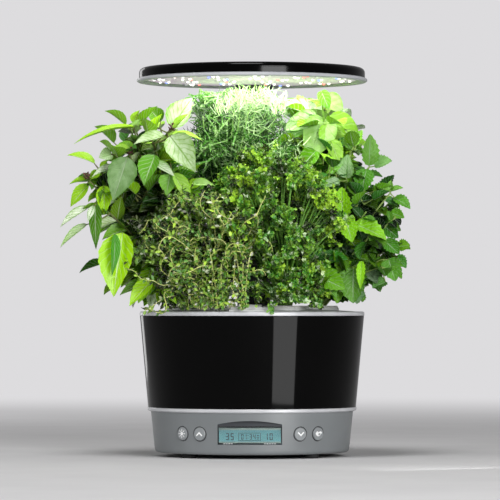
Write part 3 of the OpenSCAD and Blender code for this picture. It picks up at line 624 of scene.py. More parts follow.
def leafGrid(rows, cols):
    # a leaf is two skins that share their rim: (along 0..1, across -1..1, skin)
    spots, index, faces = [(0.0, 0.0, 0), (1.0, 0.0, 0)], {}, []
    for i in range(1, rows):
        for j in range(cols + 1):
            for skin in ((1, -1) if 0 < j < cols else (0,)):
                index[i, j, skin] = len(spots)
                spots.append((i / rows, 2 * j / cols - 1, skin))
    for skin in (1, -1):
        def at(i, j):
            return index.get((i, j, skin), index.get((i, j, 0)))
        for j in range(cols):
            loops = [[0, at(1, j), at(1, j + 1)], [at(rows - 1, j + 1), at(rows - 1, j), 1]]
            loops += [[at(i, j), at(i + 1, j), at(i + 1, j + 1), at(i, j + 1)] for i in range(1, rows - 1)]
            faces += loops if skin > 0 else [loop[::-1] for loop in loops]
    u, v, skin = np.array(spots).T
    return {"u": u, "v": v, "skin": skin, "faces": faces, "row": np.round(u * rows)}


grids = {size: leafGrid(*size) for size in ((3, 2), (4, 2), (10, 4), (14, 6))}

# the frame's six crowns: pod in degrees round the deck, centre and half sizes, clumps and their radius, in mm
crowns = {
    "thaiBasil": {"pod": 180, "centre": (-106, -8, 248), "size": (46, 40, 80), "clumps": 26, "clump": 17},
    "thyme": {"pod": 240, "centre": (-34, -84, 200), "size": (64, 26, 48), "clumps": 30, "clump": 13},
    "parsley": {"pod": 300, "centre": (26, -64, 230), "size": (42, 36, 66), "clumps": 26, "clump": 16},
    "dill": {"pod": 120, "centre": (-22, 42, 318), "size": (40, 30, 46), "clumps": 20, "clump": 14},
    "sweetBasil": {"pod": 60, "centre": (62, 46, 316), "size": (28, 32, 42), "clumps": 15, "clump": 16},
    "mint": {"pod": 0, "centre": (100, -8, 230), "size": (40, 46, 76), "clumps": 24, "clump": 16},
}
for crown in crowns.values():
    crown["centre"], crown["size"] = np.array(crown["centre"], float), np.array(crown["size"], float)
pods = {
    "circle": 66,         # mm, as are the next three
    "scatter": 4.5,
    "top": 147.0,
    "crownFoot": 149.0,
}
goldenAngle = 137.5

# leaves keep inside the model's box, over deck and rim, under the lamps, and clear of the post and of the
# quarter disc that the flap sweeps about its hinge; all in mm
limits = {
    "boxGap": 0.3,
    "top": 371.5,
    "deckRadius": 104,
    "deckTop": 150.6,
    "rimRadius": 113,
    "rimTop": 145.2,
    "lowest": 120,
    "postHalf": 20,
    "postFront": 77,
    "flapHalf": 21,
    "flapDepth": (-105.5, -67),
    "hinge": (-76, 148.8),
    "flapReach": 29.5,
}
cadLow = np.array(cadBox[0]) * 1000 + limits["boxGap"]
cadHigh = np.array(cadBox[1]) * 1000 - limits["boxGap"]


def allClear(p):
    x, y, z = p.T
    away = np.hypot(x, y)
    overDeck = away < limits["deckRadius"]
    overRim = ~overDeck & (away < limits["rimRadius"])
    front, back = limits["flapDepth"]
    hingeY, hingeZ = limits["hinge"]
    swept = np.hypot(y - hingeY, z - hingeZ) < limits["flapReach"]
    blocked = (z > limits["top"]) | (z < limits["lowest"]) | overDeck & (z < limits["deckTop"])
    blocked |= overRim & (z < limits["rimTop"])
    blocked |= (abs(x) < limits["postHalf"]) & (y > limits["postFront"])
    blocked |= (abs(x) < limits["flapHalf"]) & (y > front) & (y < back) & swept
    return not (blocked.any() or (p < cadLow).any() or (p > cadHigh).any())


def newPlant(seed, name):
    return {"points": [], "faces": [], "marks": [], "tints": [], "kinds": [], "count": 0,
            "chance": random.Random(seed), "stems": [], "crown": crowns[name]}


def unit(v):
    return v / max(np.linalg.norm(v), 1e-9)


def clamp(value):
    return min(1.0, max(0.0, value))


def scatter(chance, spread):
    return np.array([chance.gauss(0, spread) for _ in range(3)])


def crownDepth(plant, spot):
    # 0 at the heart of the crown, 1 at its outside and past it
    crown = plant["crown"]
    return clamp((np.linalg.norm((spot - crown["centre"]) / crown["size"]) - 0.45) / 0.5)


def gather(plant, points, marks, tint, faces, kind):
    # adds one leaf or stem; kind is its material's place in the plant's list
    first = plant["count"]
    plant["points"].append(points)
    plant["marks"].append(np.stack(marks, 1))
    plant["tints"].append(np.tile(np.array(tint, float), (len(points), 1)))
    plant["faces"].extend([first + i for i in face] for face in faces)
    plant["kinds"].extend([kind] * len(faces))
    plant["count"] += len(points)
    return True


def addLeaf(plant, base, tip, look, facing, tint, kind=0):
    # base and tip in mm; facing is 1 where the blade turns to the room, 0 where it lies flat
    grid, chance = grids[look["grid"]], plant["chance"]
    base, tip = np.array(base, float), np.array(tip, float)
    chord = tip - base
    along = unit(chord)
    up = facing * look.get("toward", np.array((0.0, -1.0, 0.25))) + (1 - facing) * np.array((0.0, -0.1, 1.0))
    up = up + np.array([chance.uniform(-0.25, 0.25) for _ in range(3)])
    up = unit(up - along * np.dot(up, along))
    bend = look["bend"] * chance.uniform(0.6, 1.4) + 0.02
    length = np.linalg.norm(chord) * (bend / 2) / math.sin(bend / 2)
    start = along * math.cos(bend / 2) + up * math.sin(bend / 2)
    normal = up * math.cos(bend / 2) - along * math.sin(bend / 2)
    side = np.cross(normal, start)
    u, v, skin = grid["u"], grid["v"], grid["skin"]
    half = look["width"] / 2 * np.sin(np.pi * u ** look["belly"]) ** look["round"]
    if look.get("teeth"):
        half = half * (1 + look["teeth"] * (grid["row"] % 2 - 0.5))
    turn = bend * u
    lift = look["cup"] * half * (v * v - 0.3) + look.get("fold", 0.0) * half * (np.abs(v) - 0.4)
    if look.get("ruffle"):
        wave = np.sin(u * look["waves"] + v * 1.5 + chance.uniform(0, 6))
        lift = lift + look["ruffle"] * look["width"] * np.abs(v) ** 1.5 * wave
    if look.get("quilt"):
        puffs = np.cos(2 * np.pi * look["veins"] * (u - 0.25 * np.abs(v)))
        lift = lift + look["quilt"] * puffs * (1 - v ** 4) * np.abs(v)
    lift = lift - look.get("keel", 0.0) * np.exp(-(v / 0.2) ** 2) * (1 - u)
    twist = look.get("twist", 0.0) * chance.uniform(-1, 1) * u
    rise = lift + skin * look["thick"] * (1 - v * v) * np.sin(np.pi * np.clip(u, 0.02, 0.98))
    across = v * half * np.cos(twist) - rise * np.sin(twist) * 0.3
    rise = rise + v * half * np.sin(twist)
    forward = length * np.sin(turn) / bend + rise * np.sin(turn)
    upward = -length * (1 - np.cos(turn)) / bend + rise * np.cos(turn)
    points = base + np.outer(forward, start) + np.outer(upward, normal) + np.outer(across, side)
    return allClear(points) and gather(plant, points, (u, v * 0.5 + 0.5), tint, grid["faces"], kind)


def addStem(plant, route, thick, thin, sides=6, tint=(0.5, 0.0, 0.5), kind=1):
    route = [np.array(p, float) for p in route]
    last = len(route) - 1
    guide = np.array((0.31, 0.83, 0.2))
    points = []
    for k, p in enumerate(route):
        along = unit(route[min(k + 1, last)] - route[max(k - 1, 0)])
        guide = unit(guide - along * np.dot(guide, along))
        other = np.cross(along, guide)
        radius = thick + (thin - thick) * k / last
        for s in range(sides):
            a = s * math.tau / sides
            points.append(p + radius * (guide * math.cos(a) + other * math.sin(a)))
    points = np.array(points)
    if not allClear(points[2 * sides:]):
        return False
    # the marks lie off the midrib, which is pale
    marks = np.repeat(np.arange(last + 1) / last, sides), np.full(len(points), 0.25)
    faces = [list(range(sides))[::-1], [last * sides + s for s in range(sides)]]
    for low in range(0, last * sides, sides):
        for s in range(sides):
            n = (s + 1) % sides
            faces.append([low + s, low + n, low + sides + n, low + sides + s])
    return gather(plant, points, marks, tint, faces, kind)


def bezier(a, b, c, steps):
    a, b, c = (np.array(p, float) for p in (a, b, c))
    return [a * (1 - t) ** 2 + b * 2 * t * (1 - t) + c * t * t for t in np.linspace(0, 1, steps)]


def onPod(crown, height):
    a = math.radians(crown["pod"])
    return np.array((pods["circle"] * math.cos(a), pods["circle"] * math.sin(a), height))


def podTop(plant):
    b = plant["chance"].uniform(0, math.tau)
    return onPod(plant["crown"], pods["top"]) + pods["scatter"] * np.array((math.cos(b), math.sin(b), 0))


def crownDistance(crown, spot):
    # how far from the plant's leaning axis, in half sizes of its crown
    foot = onPod(crown, pods["crownFoot"])
    lean = crown["centre"] - foot
    rise = (spot[2] - foot[2]) / lean[2]
    away = (spot - foot - lean * clamp(rise)) / crown["size"]
    return math.hypot(away[0], away[1], away[2] if rise > 1 else 0)


def crownClumps(crown):
    # the frame's clumps, from the bottom up by the golden angle, every third one halfway in
    for k in range(crown["clumps"]):
        h = 2 * (k + 0.5) / crown["clumps"] - 1
        spread, around = math.sqrt(1 - h * h), math.radians(goldenAngle * k)
        deep = 1 if k % 3 else 0.5
        way = (spread * math.cos(around), spread * math.sin(around), h)
        place = crown["centre"] + deep * crown["size"] * way
        own = crownDistance(crown, place) + 0.05
        if min(crownDistance(other, place) for other in crowns.values() if other is not crown) > own:
            yield k, place, crown["clump"] * (1.1 - 0.2 * (k % 3))


def crownTips(plant, each, loose=0.4):
    # stem ends spread through every clump
    return [place + radius * loose * scatter(plant["chance"], 1)
            for _, place, radius in crownClumps(plant["crown"]) for _ in range(each)]


def frontTips(plant, count, outside=8):
    # stem ends over the side of the crown that faces the room
    tips = []
    for _ in range(count):
        way = unit(scatter(plant["chance"], 1))
        way[1] = -abs(way[1])
        tips.append(plant["crown"]["centre"] + (plant["crown"]["size"] + outside) * way)
    return tips


def outerLeaves(plant, look, long, wide, each=2, lime=0.3, pale=0.1, ceiling=400, front=-200):
    # the large leaves that stand out of each clump; none is over the ceiling or before the front
    chance = plant["chance"]
    for k, place, radius in crownClumps(plant["crown"]):
        for j in range(each):
            turn = math.radians(360 * j / each + 50 * k)
            around = np.array((math.cos(turn), math.sin(turn), 0.6 * math.sin(2 * turn)))
            way = unit(unit(place - plant["crown"]["centre"]) + 0.9 * around)
            normal = np.cross(unit(np.cross(way, (0.1, 0.2, 1))), way)
            base = place + way * radius * 0.6
            if base[2] > ceiling or base[1] < front:
                continue
            # the tint: random lime, painted glare on the share pale of the leaves, and a tone at random
            tint = (clamp(chance.gauss(lime, 0.3)), chance.uniform(0.2, 0.8) * (chance.random() < pale),
                    chance.uniform(0.3, 1))
            blade = dict(look, width=wide, toward=normal)
            if addLeaf(plant, base, base + way * long - normal * long * 0.1, blade, 1.0, tint):
                addStem(plant, bezier(place, (place + base) / 2, base + way, 3), 0.8, 0.5, 5, (0.5, 0, 0.4))


def mainStem(plant, tip, thick, thin, lean=0.55, steps=9):
    # rises from the pod and arches over to its tip
    tip = np.array(tip, float)
    start = podTop(plant)
    middle = start * lean + tip * (1 - lean)
    aside = math.hypot(tip[0] - start[0], tip[1] - start[1])
    middle[2] = start[2] + max((tip[2] - start[2]) * 0.6, 12 + 0.35 * aside)
    route = bezier(start, middle, tip, steps)
    if not addStem(plant, route, thick, thin):
        return []
    plant["stems"].append(route)
    return route


def nearestOnStems(plant, point):
    # a stem point a little lower than the leaf, so that its stalk rises out of the stem
    every = [p for route in plant["stems"] for p in route[2:]]
    return min(every, key=lambda p: np.linalg.norm(p - point) + 0.8 * max(0, p[2] - point[2] + 2))


def heroLeaves(plant, leaves, look, stalk):
    # leaves that make the plant's outline: base, tip, width, facing, lime (partly painted light), pale
    # (painted glare), and at times a bend
    for base, tip, width, facing, lime, pale, *bend in leaves:
        base = np.array(base, float)
        shape = dict(look, width=width, bend=bend[0] if bend else look["bend"])
        if addLeaf(plant, base, tip, shape, facing, (lime, pale, plant["chance"].uniform(0.5, 1))):
            root = nearestOnStems(plant, base)
            gap = np.linalg.norm(root - base)
            if gap > 1:
                sag = (root + base) / 2 + np.array((0, 0, -0.12 * gap))
                into = base + unit(np.array(tip, float) - base) * 1.2
                addStem(plant, bezier(root, sag, into, 6), stalk, stalk * 0.6, 5, (0.6, pale, 0.5))


def alongRoute(route, gap, fromShare, chance):
    # points a gap apart up a stem, with the stem's direction and how far up they are
    lengths = np.cumsum([0] + [np.linalg.norm(b - a) for a, b in zip(route, route[1:])])
    at = lengths[-1] * fromShare
    while at < lengths[-1] - 1e-6:
        k = max(0, int(np.searchsorted(lengths, at)) - 1)
        share = (at - lengths[k]) / max(lengths[k + 1] - lengths[k], 1e-6)
        yield route[k] * (1 - share) + route[k + 1] * share, unit(route[k + 1] - route[k]), at / lengths[-1]
        at += gap * chance.uniform(0.8, 1.2)


def pairedLeaves(plant, route, look, gap, size, fromShare, rise=0.5, lime=0.3, pale=0.1, front=-200):
    # opposite pairs up a stem, each pair turned a quarter from the last; painted glare whitens the top ones,
    # near the lamps, and outer leaves get more lime and painted light
    chance = plant["chance"]
    turn = chance.uniform(0, math.tau)
    for spot, along, share in alongRoute(route, gap, fromShare, chance):
        first = unit(np.cross(along, (0.2, 0.3, 0.9)))
        second = np.cross(along, first)
        grow = size * (0.65 + 0.6 * math.sin(math.pi * share ** 1.2))
        outside = crownDepth(plant, spot)
        for half in (0, math.pi):
            out = first * math.cos(turn + half) + second * math.sin(turn + half)
            long = grow * chance.uniform(0.7, 1.2)
            way = unit(out + along * rise + np.array((0, -0.1, chance.uniform(-0.7, 0.3))))
            # painted glare near the lamps and on a few outer leaves; painted shade on leaves deep in the
            # crown
            paintedLampGlare = clamp((spot[2] - 300) / 80) * chance.uniform(0.2, 0.9)
            whitening = max(paintedLampGlare, outside * chance.uniform(0.4, 1.0) * (chance.random() < pale))
            youngLimeAndPaintedLight = clamp(chance.gauss(lime, 0.28)) * (0.2 + 0.8 * outside)
            tint = (youngLimeAndPaintedLight, whitening, chance.random() * (0.15 + 0.85 * outside))
            if min(spot[1], (spot + way * long)[1]) < front:
                continue
            blade = dict(look, width=look["width"] * long / size)
            addLeaf(plant, spot + out * 0.6, spot + way * long, blade, chance.uniform(0.1, 0.9), tint)
        turn += math.pi / 2 + chance.uniform(-0.2, 0.2)


def finishPlant(plant, name, materials):
    faces = plant["faces"]
    points = (np.concatenate(plant["points"]) / 1000).tolist()
    piece = addPiece(name, points, faces, materials, "garden", 75)
    mesh = piece.data
    mesh.polygons.foreach_set("material_index", plant["kinds"])
    corner = np.empty(len(mesh.loops), np.int32)
    mesh.loops.foreach_get("vertex_index", corner)
    marks = np.concatenate(plant["marks"])
    mesh.uv_layers.new(name="leafMarks").data.foreach_set("uv", marks[corner].ravel())
    tints = np.concatenate(plant["tints"])
    layer = mesh.color_attributes.new("leafTint", "FLOAT_COLOR", "POINT")
    layer.data.foreach_set("color", np.concatenate([tints, np.ones((len(tints), 1))], 1).ravel())
    mesh.update()
    print(name, len(faces), "faces,", sum(len(face) - 2 for face in faces), "triangles")
    return piece


def leafMaterial(name, dark, mid, lime, pale, roughness, veins, veinDeep, blister=0.0, spec=0.4, tipLime=0.0):
    # living leaf: waxy skin, a pale midrib with side veins sunk into it, blotchy chlorophyll; the vertex tint
    # paints light and shade on it: red is lime from young growth and painted light, green is painted glare,
    # blue is painted light, dark deep in the crown
    material, tree, surface, place = startMaterial(name)
    marks = addNode(tree, "UVMap", uv_map="leafMarks")
    spot = addNode(tree, "SeparateXYZ", {"Vector": marks}).outputs
    tint = addNode(tree, "VertexColor", layer_name="leafTint")
    parts = addNode(tree, "SeparateColor", {"Color": tint}).outputs
    youngLimeAndPaintedLight, paintedGlareShare, lit = parts["Red"], parts["Green"], parts["Blue"]
    across = addNode(tree, "Math", {0: spot["Y"], 1: 0.5}, operation="SUBTRACT")
    across = addNode(tree, "Math", {0: across}, operation="ABSOLUTE")
    rib = addNode(tree, "MapRange", {"Value": across, "From Min": 0.01, "From Max": 0.035,
                                     "To Min": 1.0, "To Max": 0.0})
    blotch = addNode(tree, "TexNoise", {"Vector": place, "Scale": 1000 / 9, "Detail": 4.0})
    slant = addNode(tree, "Math", {0: across, 1: -0.7, 2: spot["X"]}, operation="MULTIPLY_ADD")
    bent = addNode(tree, "Math", {0: blotch, 1: 0.16, 2: slant}, operation="MULTIPLY_ADD")
    wave = addNode(tree, "Math", {0: bent, 1: veins}, operation="MULTIPLY")
    wave = addNode(tree, "Math", {0: wave, 1: 0.5}, operation="PINGPONG")
    side = addNode(tree, "MapRange", {"Value": wave, "From Min": 0.02, "From Max": 0.14,
                                      "To Min": 0.4, "To Max": 0.0})
    vein = addNode(tree, "Math", {0: rib, 1: side}, operation="MAXIMUM")
    uneven = addNode(tree, "Math", {0: blotch, 1: 0.4}, operation="MULTIPLY")
    # painted shade: the lower the tint's blue, the nearer the leaf's colour is to the dark one
    depth = addNode(tree, "Math", {0: lit, 1: 0.75, 2: uneven}, operation="MULTIPLY_ADD")
    body = addNode(tree, "ValToRGB", {"Fac": depth}, stops=[(0.22, dark), (0.95, mid)])
    if tipLime:
        # young rims are brighter than the heart of the leaf, by as much as the leaf's painted light
        rim = addNode(tree, "MapRange", {"Value": spot["X"], "From Min": 0.45, "To Max": tipLime})
        youngLimeAndPaintedLight = addNode(tree, "Math", {0: rim, 1: lit, 2: youngLimeAndPaintedLight}, operation="MULTIPLY_ADD", use_clamp=True)
    freshAndPaintedLight = addNode(tree, "Mix", {0: youngLimeAndPaintedLight, 6: body, 7: lime}, data_type="RGBA").outputs[2]
    green = addNode(tree, "Math", {0: paintedGlareShare, 1: -0.5, 2: 0.45}, operation="MULTIPLY_ADD", use_clamp=True)
    veined = addNode(tree, "Math", {0: vein, 1: green}, operation="MULTIPLY")
    ribbed = addNode(tree, "Mix", {0: veined, 6: freshAndPaintedLight, 7: pale}, data_type="RGBA").outputs[2]
    # painted glare spares the veins and the rim
    edge = addNode(tree, "MapRange", {"Value": across, "From Min": 0.36, "From Max": 0.5,
                                      "To Min": 0.0, "To Max": 0.6})
    spared = addNode(tree, "Math", {0: vein, 1: 1.6, 2: edge}, operation="MULTIPLY_ADD", use_clamp=True)
    patchy = addNode(tree, "MapRange", {"Value": blotch, "From Min": 0.35, "From Max": 0.6,
                                        "To Min": 0.55, "To Max": 1.0})
    kept = addNode(tree, "Math", {0: spared, 1: -0.85, 2: patchy}, operation="MULTIPLY_ADD", use_clamp=True)
    paintedGlareMask = addNode(tree, "Math", {0: paintedGlareShare, 1: kept}, operation="MULTIPLY")
    withPaintedGlare = addNode(tree, "Mix", {0: paintedGlareMask, 6: ribbed, 7: pale}, data_type="RGBA").outputs[2]
    relief = addNode(tree, "Math", {0: vein, 1: -1.0}, operation="MULTIPLY")
    bump = addNode(tree, "Bump", {"Height": relief, "Strength": 0.8, "Distance": veinDeep / 1000})
    if blister:
        cells = addNode(tree, "TexVoronoi", {"Vector": place, "Scale": 1000 / blister})
        bump = addNode(tree, "Bump", {"Height": cells, "Strength": 0.8, "Distance": 0.0008, "Normal": bump})
    # painted shade also dulls the reflections of leaves deep in the plant; the outer ones are wet with wax
    waxAndPaintedShade = addNode(tree, "MapRange", {"Value": lit, "From Min": 0.2, "From Max": 0.9,
                                     "To Min": 0.05, "To Max": spec})
    feed(tree, surface, {"Base Color": withPaintedGlare, "Normal": bump, "Specular IOR Level": waxAndPaintedShade,
                         "Roughness": roughness})
    return material


def stemMaterial(name, low, high):
    # fibrous stem: streaks along it
    material, tree, surface, place = startMaterial(name)
    pulled = addNode(tree, "Mapping", {"Vector": place, "Scale": (1, 1, 0.2)})
    streak = addNode(tree, "TexNoise", {"Vector": pulled, "Scale": 700.0, "Detail": 3.0})
    tone = addNode(tree, "ValToRGB", {"Fac": streak}, stops=[(0.3, low), (0.7, high)])
    bump = addNode(tree, "Bump", {"Height": streak, "Strength": 0.5, "Distance": 0.0001})
    feed(tree, surface, {"Base Color": tone, "Normal": bump, "Roughness": 0.5})
    return material


def growBroadHerb(plant, herb):
    # stems with paired leaves, then large leaves on each clump, then those that make the outline
    smaller = dict(herb["leaf"], grid=(10, 4))
    for tip in herb["tips"] + crownTips(plant, herb["clumpStems"]):
        pairedLeaves(plant, mainStem(plant, tip, *herb["stem"]), smaller, **herb["pairs"])
    outerLeaves(plant, herb["leaf"], **herb["outer"])
    heroLeaves(plant, herb["hero"], herb["leaf"], herb["stalk"])


# Thai basil: long pointed leaves on dark stems, purple buds

thaiBasil = {
    "leaf": {"grid": (14, 6), "width": 15, "belly": 0.72, "round": 1.05, "bend": 0.7, "cup": 0.25,
             "fold": 0.45, "thick": 0.22, "quilt": 0.35, "veins": 7, "keel": 0.6, "twist": 0.5,
             "teeth": 0.06},
    "clumpStems": 2,
    "stem": (1.5, 0.8),   # radius in mm at its foot and at its end
    "stalk": 0.9,
    "pairs": {"gap": 12, "size": 25, "fromShare": 0.35},
    "outer": {"long": 26, "wide": 17},
    "bract": {"grid": (4, 2), "width": 2.6, "belly": 0.8, "round": 0.7, "bend": -0.5, "cup": 0.5,
              "thick": 0.3},
    "bracts": 12,         # round each bud, in a spiral; mm, and radians from one to the next
    "spiral": {"turn": 2.4, "step": 0.55, "foot": -3, "core": 0.8, "spread": 3.4},
    "tips": [(-160, -34, 273), (-152, -30, 286), (-118, -20, 326), (-84, -22, 322), (-92, -2, 330),
             (-152, -44, 252), (-102, -44, 168), (-86, -66, 166), (-112, -12, 164), (-72, -80, 168),
             (-106, 26, 166), (-98, -40, 186)],
    "hero": [
        ((-115, -20, 328), (-177, -30, 310), 10, 0.2, 0.9, 0),
        ((-155, -30, 291), (-183, -34, 299), 11, 0.35, 0.9, 0),
        ((-136, -34, 289), (-158, -40, 277), 9, 0.5, 0.3, 0.9),
        ((-161, -36, 274), (-196, -40, 251), 15, 0.75, 0.15, 0),
        ((-162, -26, 271), (-180, -26, 248), 13, 0.7, 0.8, 0),
        ((-162, -30, 276), (-181, -36, 270), 10, 0.4, 0.8, 0),
        ((-122, -50, 297), (-136, -58, 253), 29, 0.9, 0.08, 0.2),
        ((-146, -40, 269), (-145, -46, 239), 16, 0.8, 0.9, 0),
        ((-160, -40, 248), (-189, -46, 227), 12, 0.6, 0.3, 0.9),
        ((-162, -40, 231), (-189, -46, 207), 11, 0.6, 0.4, 0.5),
        ((-154, -46, 253), (-153, -50, 205), 13, 0.8, 0.1, 0),
        ((-155, -50, 249), (-161, -54, 232), 7, 0.6, 0.2, 0.9),
        ((-126, -64, 222), (-134, -72, 158), 36, 0.9, 0.95, 0),
        ((-133, -68, 221), (-136, -78, 178), 10, 0.8, 0.0, 0),
        ((-123, -30, 226), (-148, -34, 215), 16, 0.6, 0.4, 0),
        ((-98, -60, 174), (-119, -70, 149), 17, 0.8, 1, 0),
        ((-99, -50, 185), (-111, -58, 152), 20, 0.8, 0.5, 0),
        ((-102, -40, 174), (-130, -44, 160), 12, 0.6, 0.2, 0),
        ((-86, -80, 165), (-71, -88, 151), 11, 0.7, 0.6, 0),
        ((-118, -10, 332), (-112, -10, 345), 10, 0.6, 0.9, 0),
        ((-112, -14, 329), (-106, -16, 339), 7, 0.5, 0.9, 0.1),
        ((-91, 0, 334), (-104, 4, 349), 17, 0.8, 0.2, 0),
        ((-80, -20, 327), (-59, -16, 357), 25, 0.85, 0.4, 0.6),
        ((-77, -30, 325), (-62, -34, 340), 11, 0.6, 0.9, 0.1),
        ((-80, -46, 318), (-54, -60, 281), 28, 0.9, 0.35, 0.6),
        ((-86, -40, 319), (-116, -50, 309), 15, 0.6, 0.4, 0.6),
        ((-93, -16, 328), (-112, -16, 329), 9, 0.3, 0.4, 0),
        ((-80, -40, 319), (-48, -44, 313), 10, 0.4, 0.8, 0.1),
        ((-97, -50, 292), (-75, -60, 277), 11, 0.6, 0.3, 0.8),
        ((-95, -50, 299), (-105, -60, 268), 22, 0.8, 0.15, 0),
        ((-80, -50, 280), (-83, -56, 258), 18, 0.8, 0.25, 0.1),
        ((-76, -54, 281), (-60, -64, 247), 15, 0.7, 0.55, 0.1),
        ((-58, -50, 271), (-35, -60, 268), 10, 0.6, 0.5, 0.3),
        ((-120, -36, 304), (-140, -44, 303), 10, 0.4, 0.7, 0.1),
        ((-138, -36, 300), (-151, -42, 296), 14, 0.6, 0.3, 0.6),
        ((-117, -30, 306), (-132, -30, 311), 9, 0.4, 0.4, 0),
        ((-146, -30, 265), (-161, -20, 279), 14, 0.6, 0.4, 0)],
    "buds": [(-163, -37, 277), (-120, -38, 302), (-111, -13, 336), (-79, -27, 326)],
}
thaiLeaf = leafMaterial("thai_basil_leaf", "#061804", "#4b9a1e", "#a9e00c", "#eef5e2", 0.33, 7, 0.5)
thaiStem = stemMaterial("thai_basil_stem", "#54443a", "#8a9a4c")
budPurple = leafMaterial("basil_bud", "#2c1620", "#5a2f3c", "#8a5a4a", "#caa9a4", 0.5, 5, 0.2)
plant = newPlant(11, "thaiBasil")
growBroadHerb(plant, thaiBasil)
spiral = thaiBasil["spiral"]
for x, y, z in thaiBasil["buds"]:
    for k in range(thaiBasil["bracts"]):
        a, h = k * spiral["turn"], k * spiral["step"]
        core, spread = spiral["core"], spiral["spread"]
        base = np.array((x + core * math.cos(a), y + core * math.sin(a), z + spiral["foot"] + h))
        tip = base + np.array((spread * math.cos(a), spread * math.sin(a), 2.4 + 0.12 * h))
        addLeaf(plant, base, tip, thaiBasil["bract"], 0.3, (0.3, 0.0, plant["chance"].random()), 2)
piece = finishPlant(plant, "thai_basil_plant", [thaiLeaf, thaiStem, budPurple])
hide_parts("thai_basil")

# sweet basil: broad cupped leaves, with painted glare where they near the lamps

sweetBasil = {
    "leaf": {"grid": (14, 6), "width": 24, "belly": 0.78, "round": 0.75, "bend": 0.9, "cup": 0.3,
             "fold": 0.35, "thick": 0.25, "quilt": 0.9, "veins": 5, "keel": 0.9, "twist": 0.4},
    "clumpStems": 1,
    "stem": (1.9, 1.0),
    "stalk": 1.1,
    "pairs": {"gap": 18, "size": 30, "fromShare": 0.4, "lime": 0.45, "front": 22},
    "outer": {"long": 24, "wide": 20, "lime": 0.5, "pale": 0.2, "ceiling": 350, "front": 12},
    "tips": [(66, 34, 341), (50, 38, 356), (76, 34, 340), (72, 30, 336), (104, 26, 314)],
    "hero": [
        ((71, 2, 354), (37, -6, 352), 27, 0.55, 0.6, 0.55, 2.0),
        ((69, -4, 365), (77, -8, 346), 13, 0.7, 0.15, 0),
        ((66, 34, 341), (31, 24, 351), 24, 0.7, 0.35, 0.65),
        ((73, 30, 339), (57, 14, 298), 34, 0.9, 0.4, 0.3),
        ((76, 34, 341), (107, 28, 314), 26, 0.8, 0.55, 0.1),
        ((66, 26, 339), (32, 12, 326), 20, 0.8, 0.35, 0.55),
        ((56, 24, 329), (32, 14, 314), 15, 0.7, 0.15, 0.1),
        ((105, 20, 314), (75, 6, 300), 11, 0.5, 0.85, 0.1),
        ((78, 10, 316), (88, 0, 291), 16, 0.8, 0.6, 0.1), ((66, 50, 362), (44, 44, 368), 22, 0.6, 0.6, 0.6),
        ((70, 46, 360), (91, 50, 346), 22, 0.7, 0.5, 0.3),
        ((78, 44, 329), (104, 50, 334), 20, 0.6, 0.5, 0.1),
        ((76, 26, 334), (86, 16, 298), 27, 0.9, 0.55, 0.1), ((64, 10, 306), (48, 0, 285), 18, 0.7, 0.2, 0),
        ((78, 16, 304), (98, 10, 284), 18, 0.7, 0.25, 0)],
}
sweetLeaf = leafMaterial("sweet_basil_leaf", "#0b3606", "#58ae22", "#a8e01c", "#edf6de", 0.3, 5, 0.7,
                         blister=7)
sweetStem = stemMaterial("sweet_basil_stem", "#6f9a3c", "#a8cc6a")
plant = newPlant(23, "sweetBasil")
growBroadHerb(plant, sweetBasil)
piece = finishPlant(plant, "sweet_basil_plant", [sweetLeaf, sweetStem])
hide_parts("sweet_basil")

# mint: toothed leaves in pairs on square stems, blistered skin

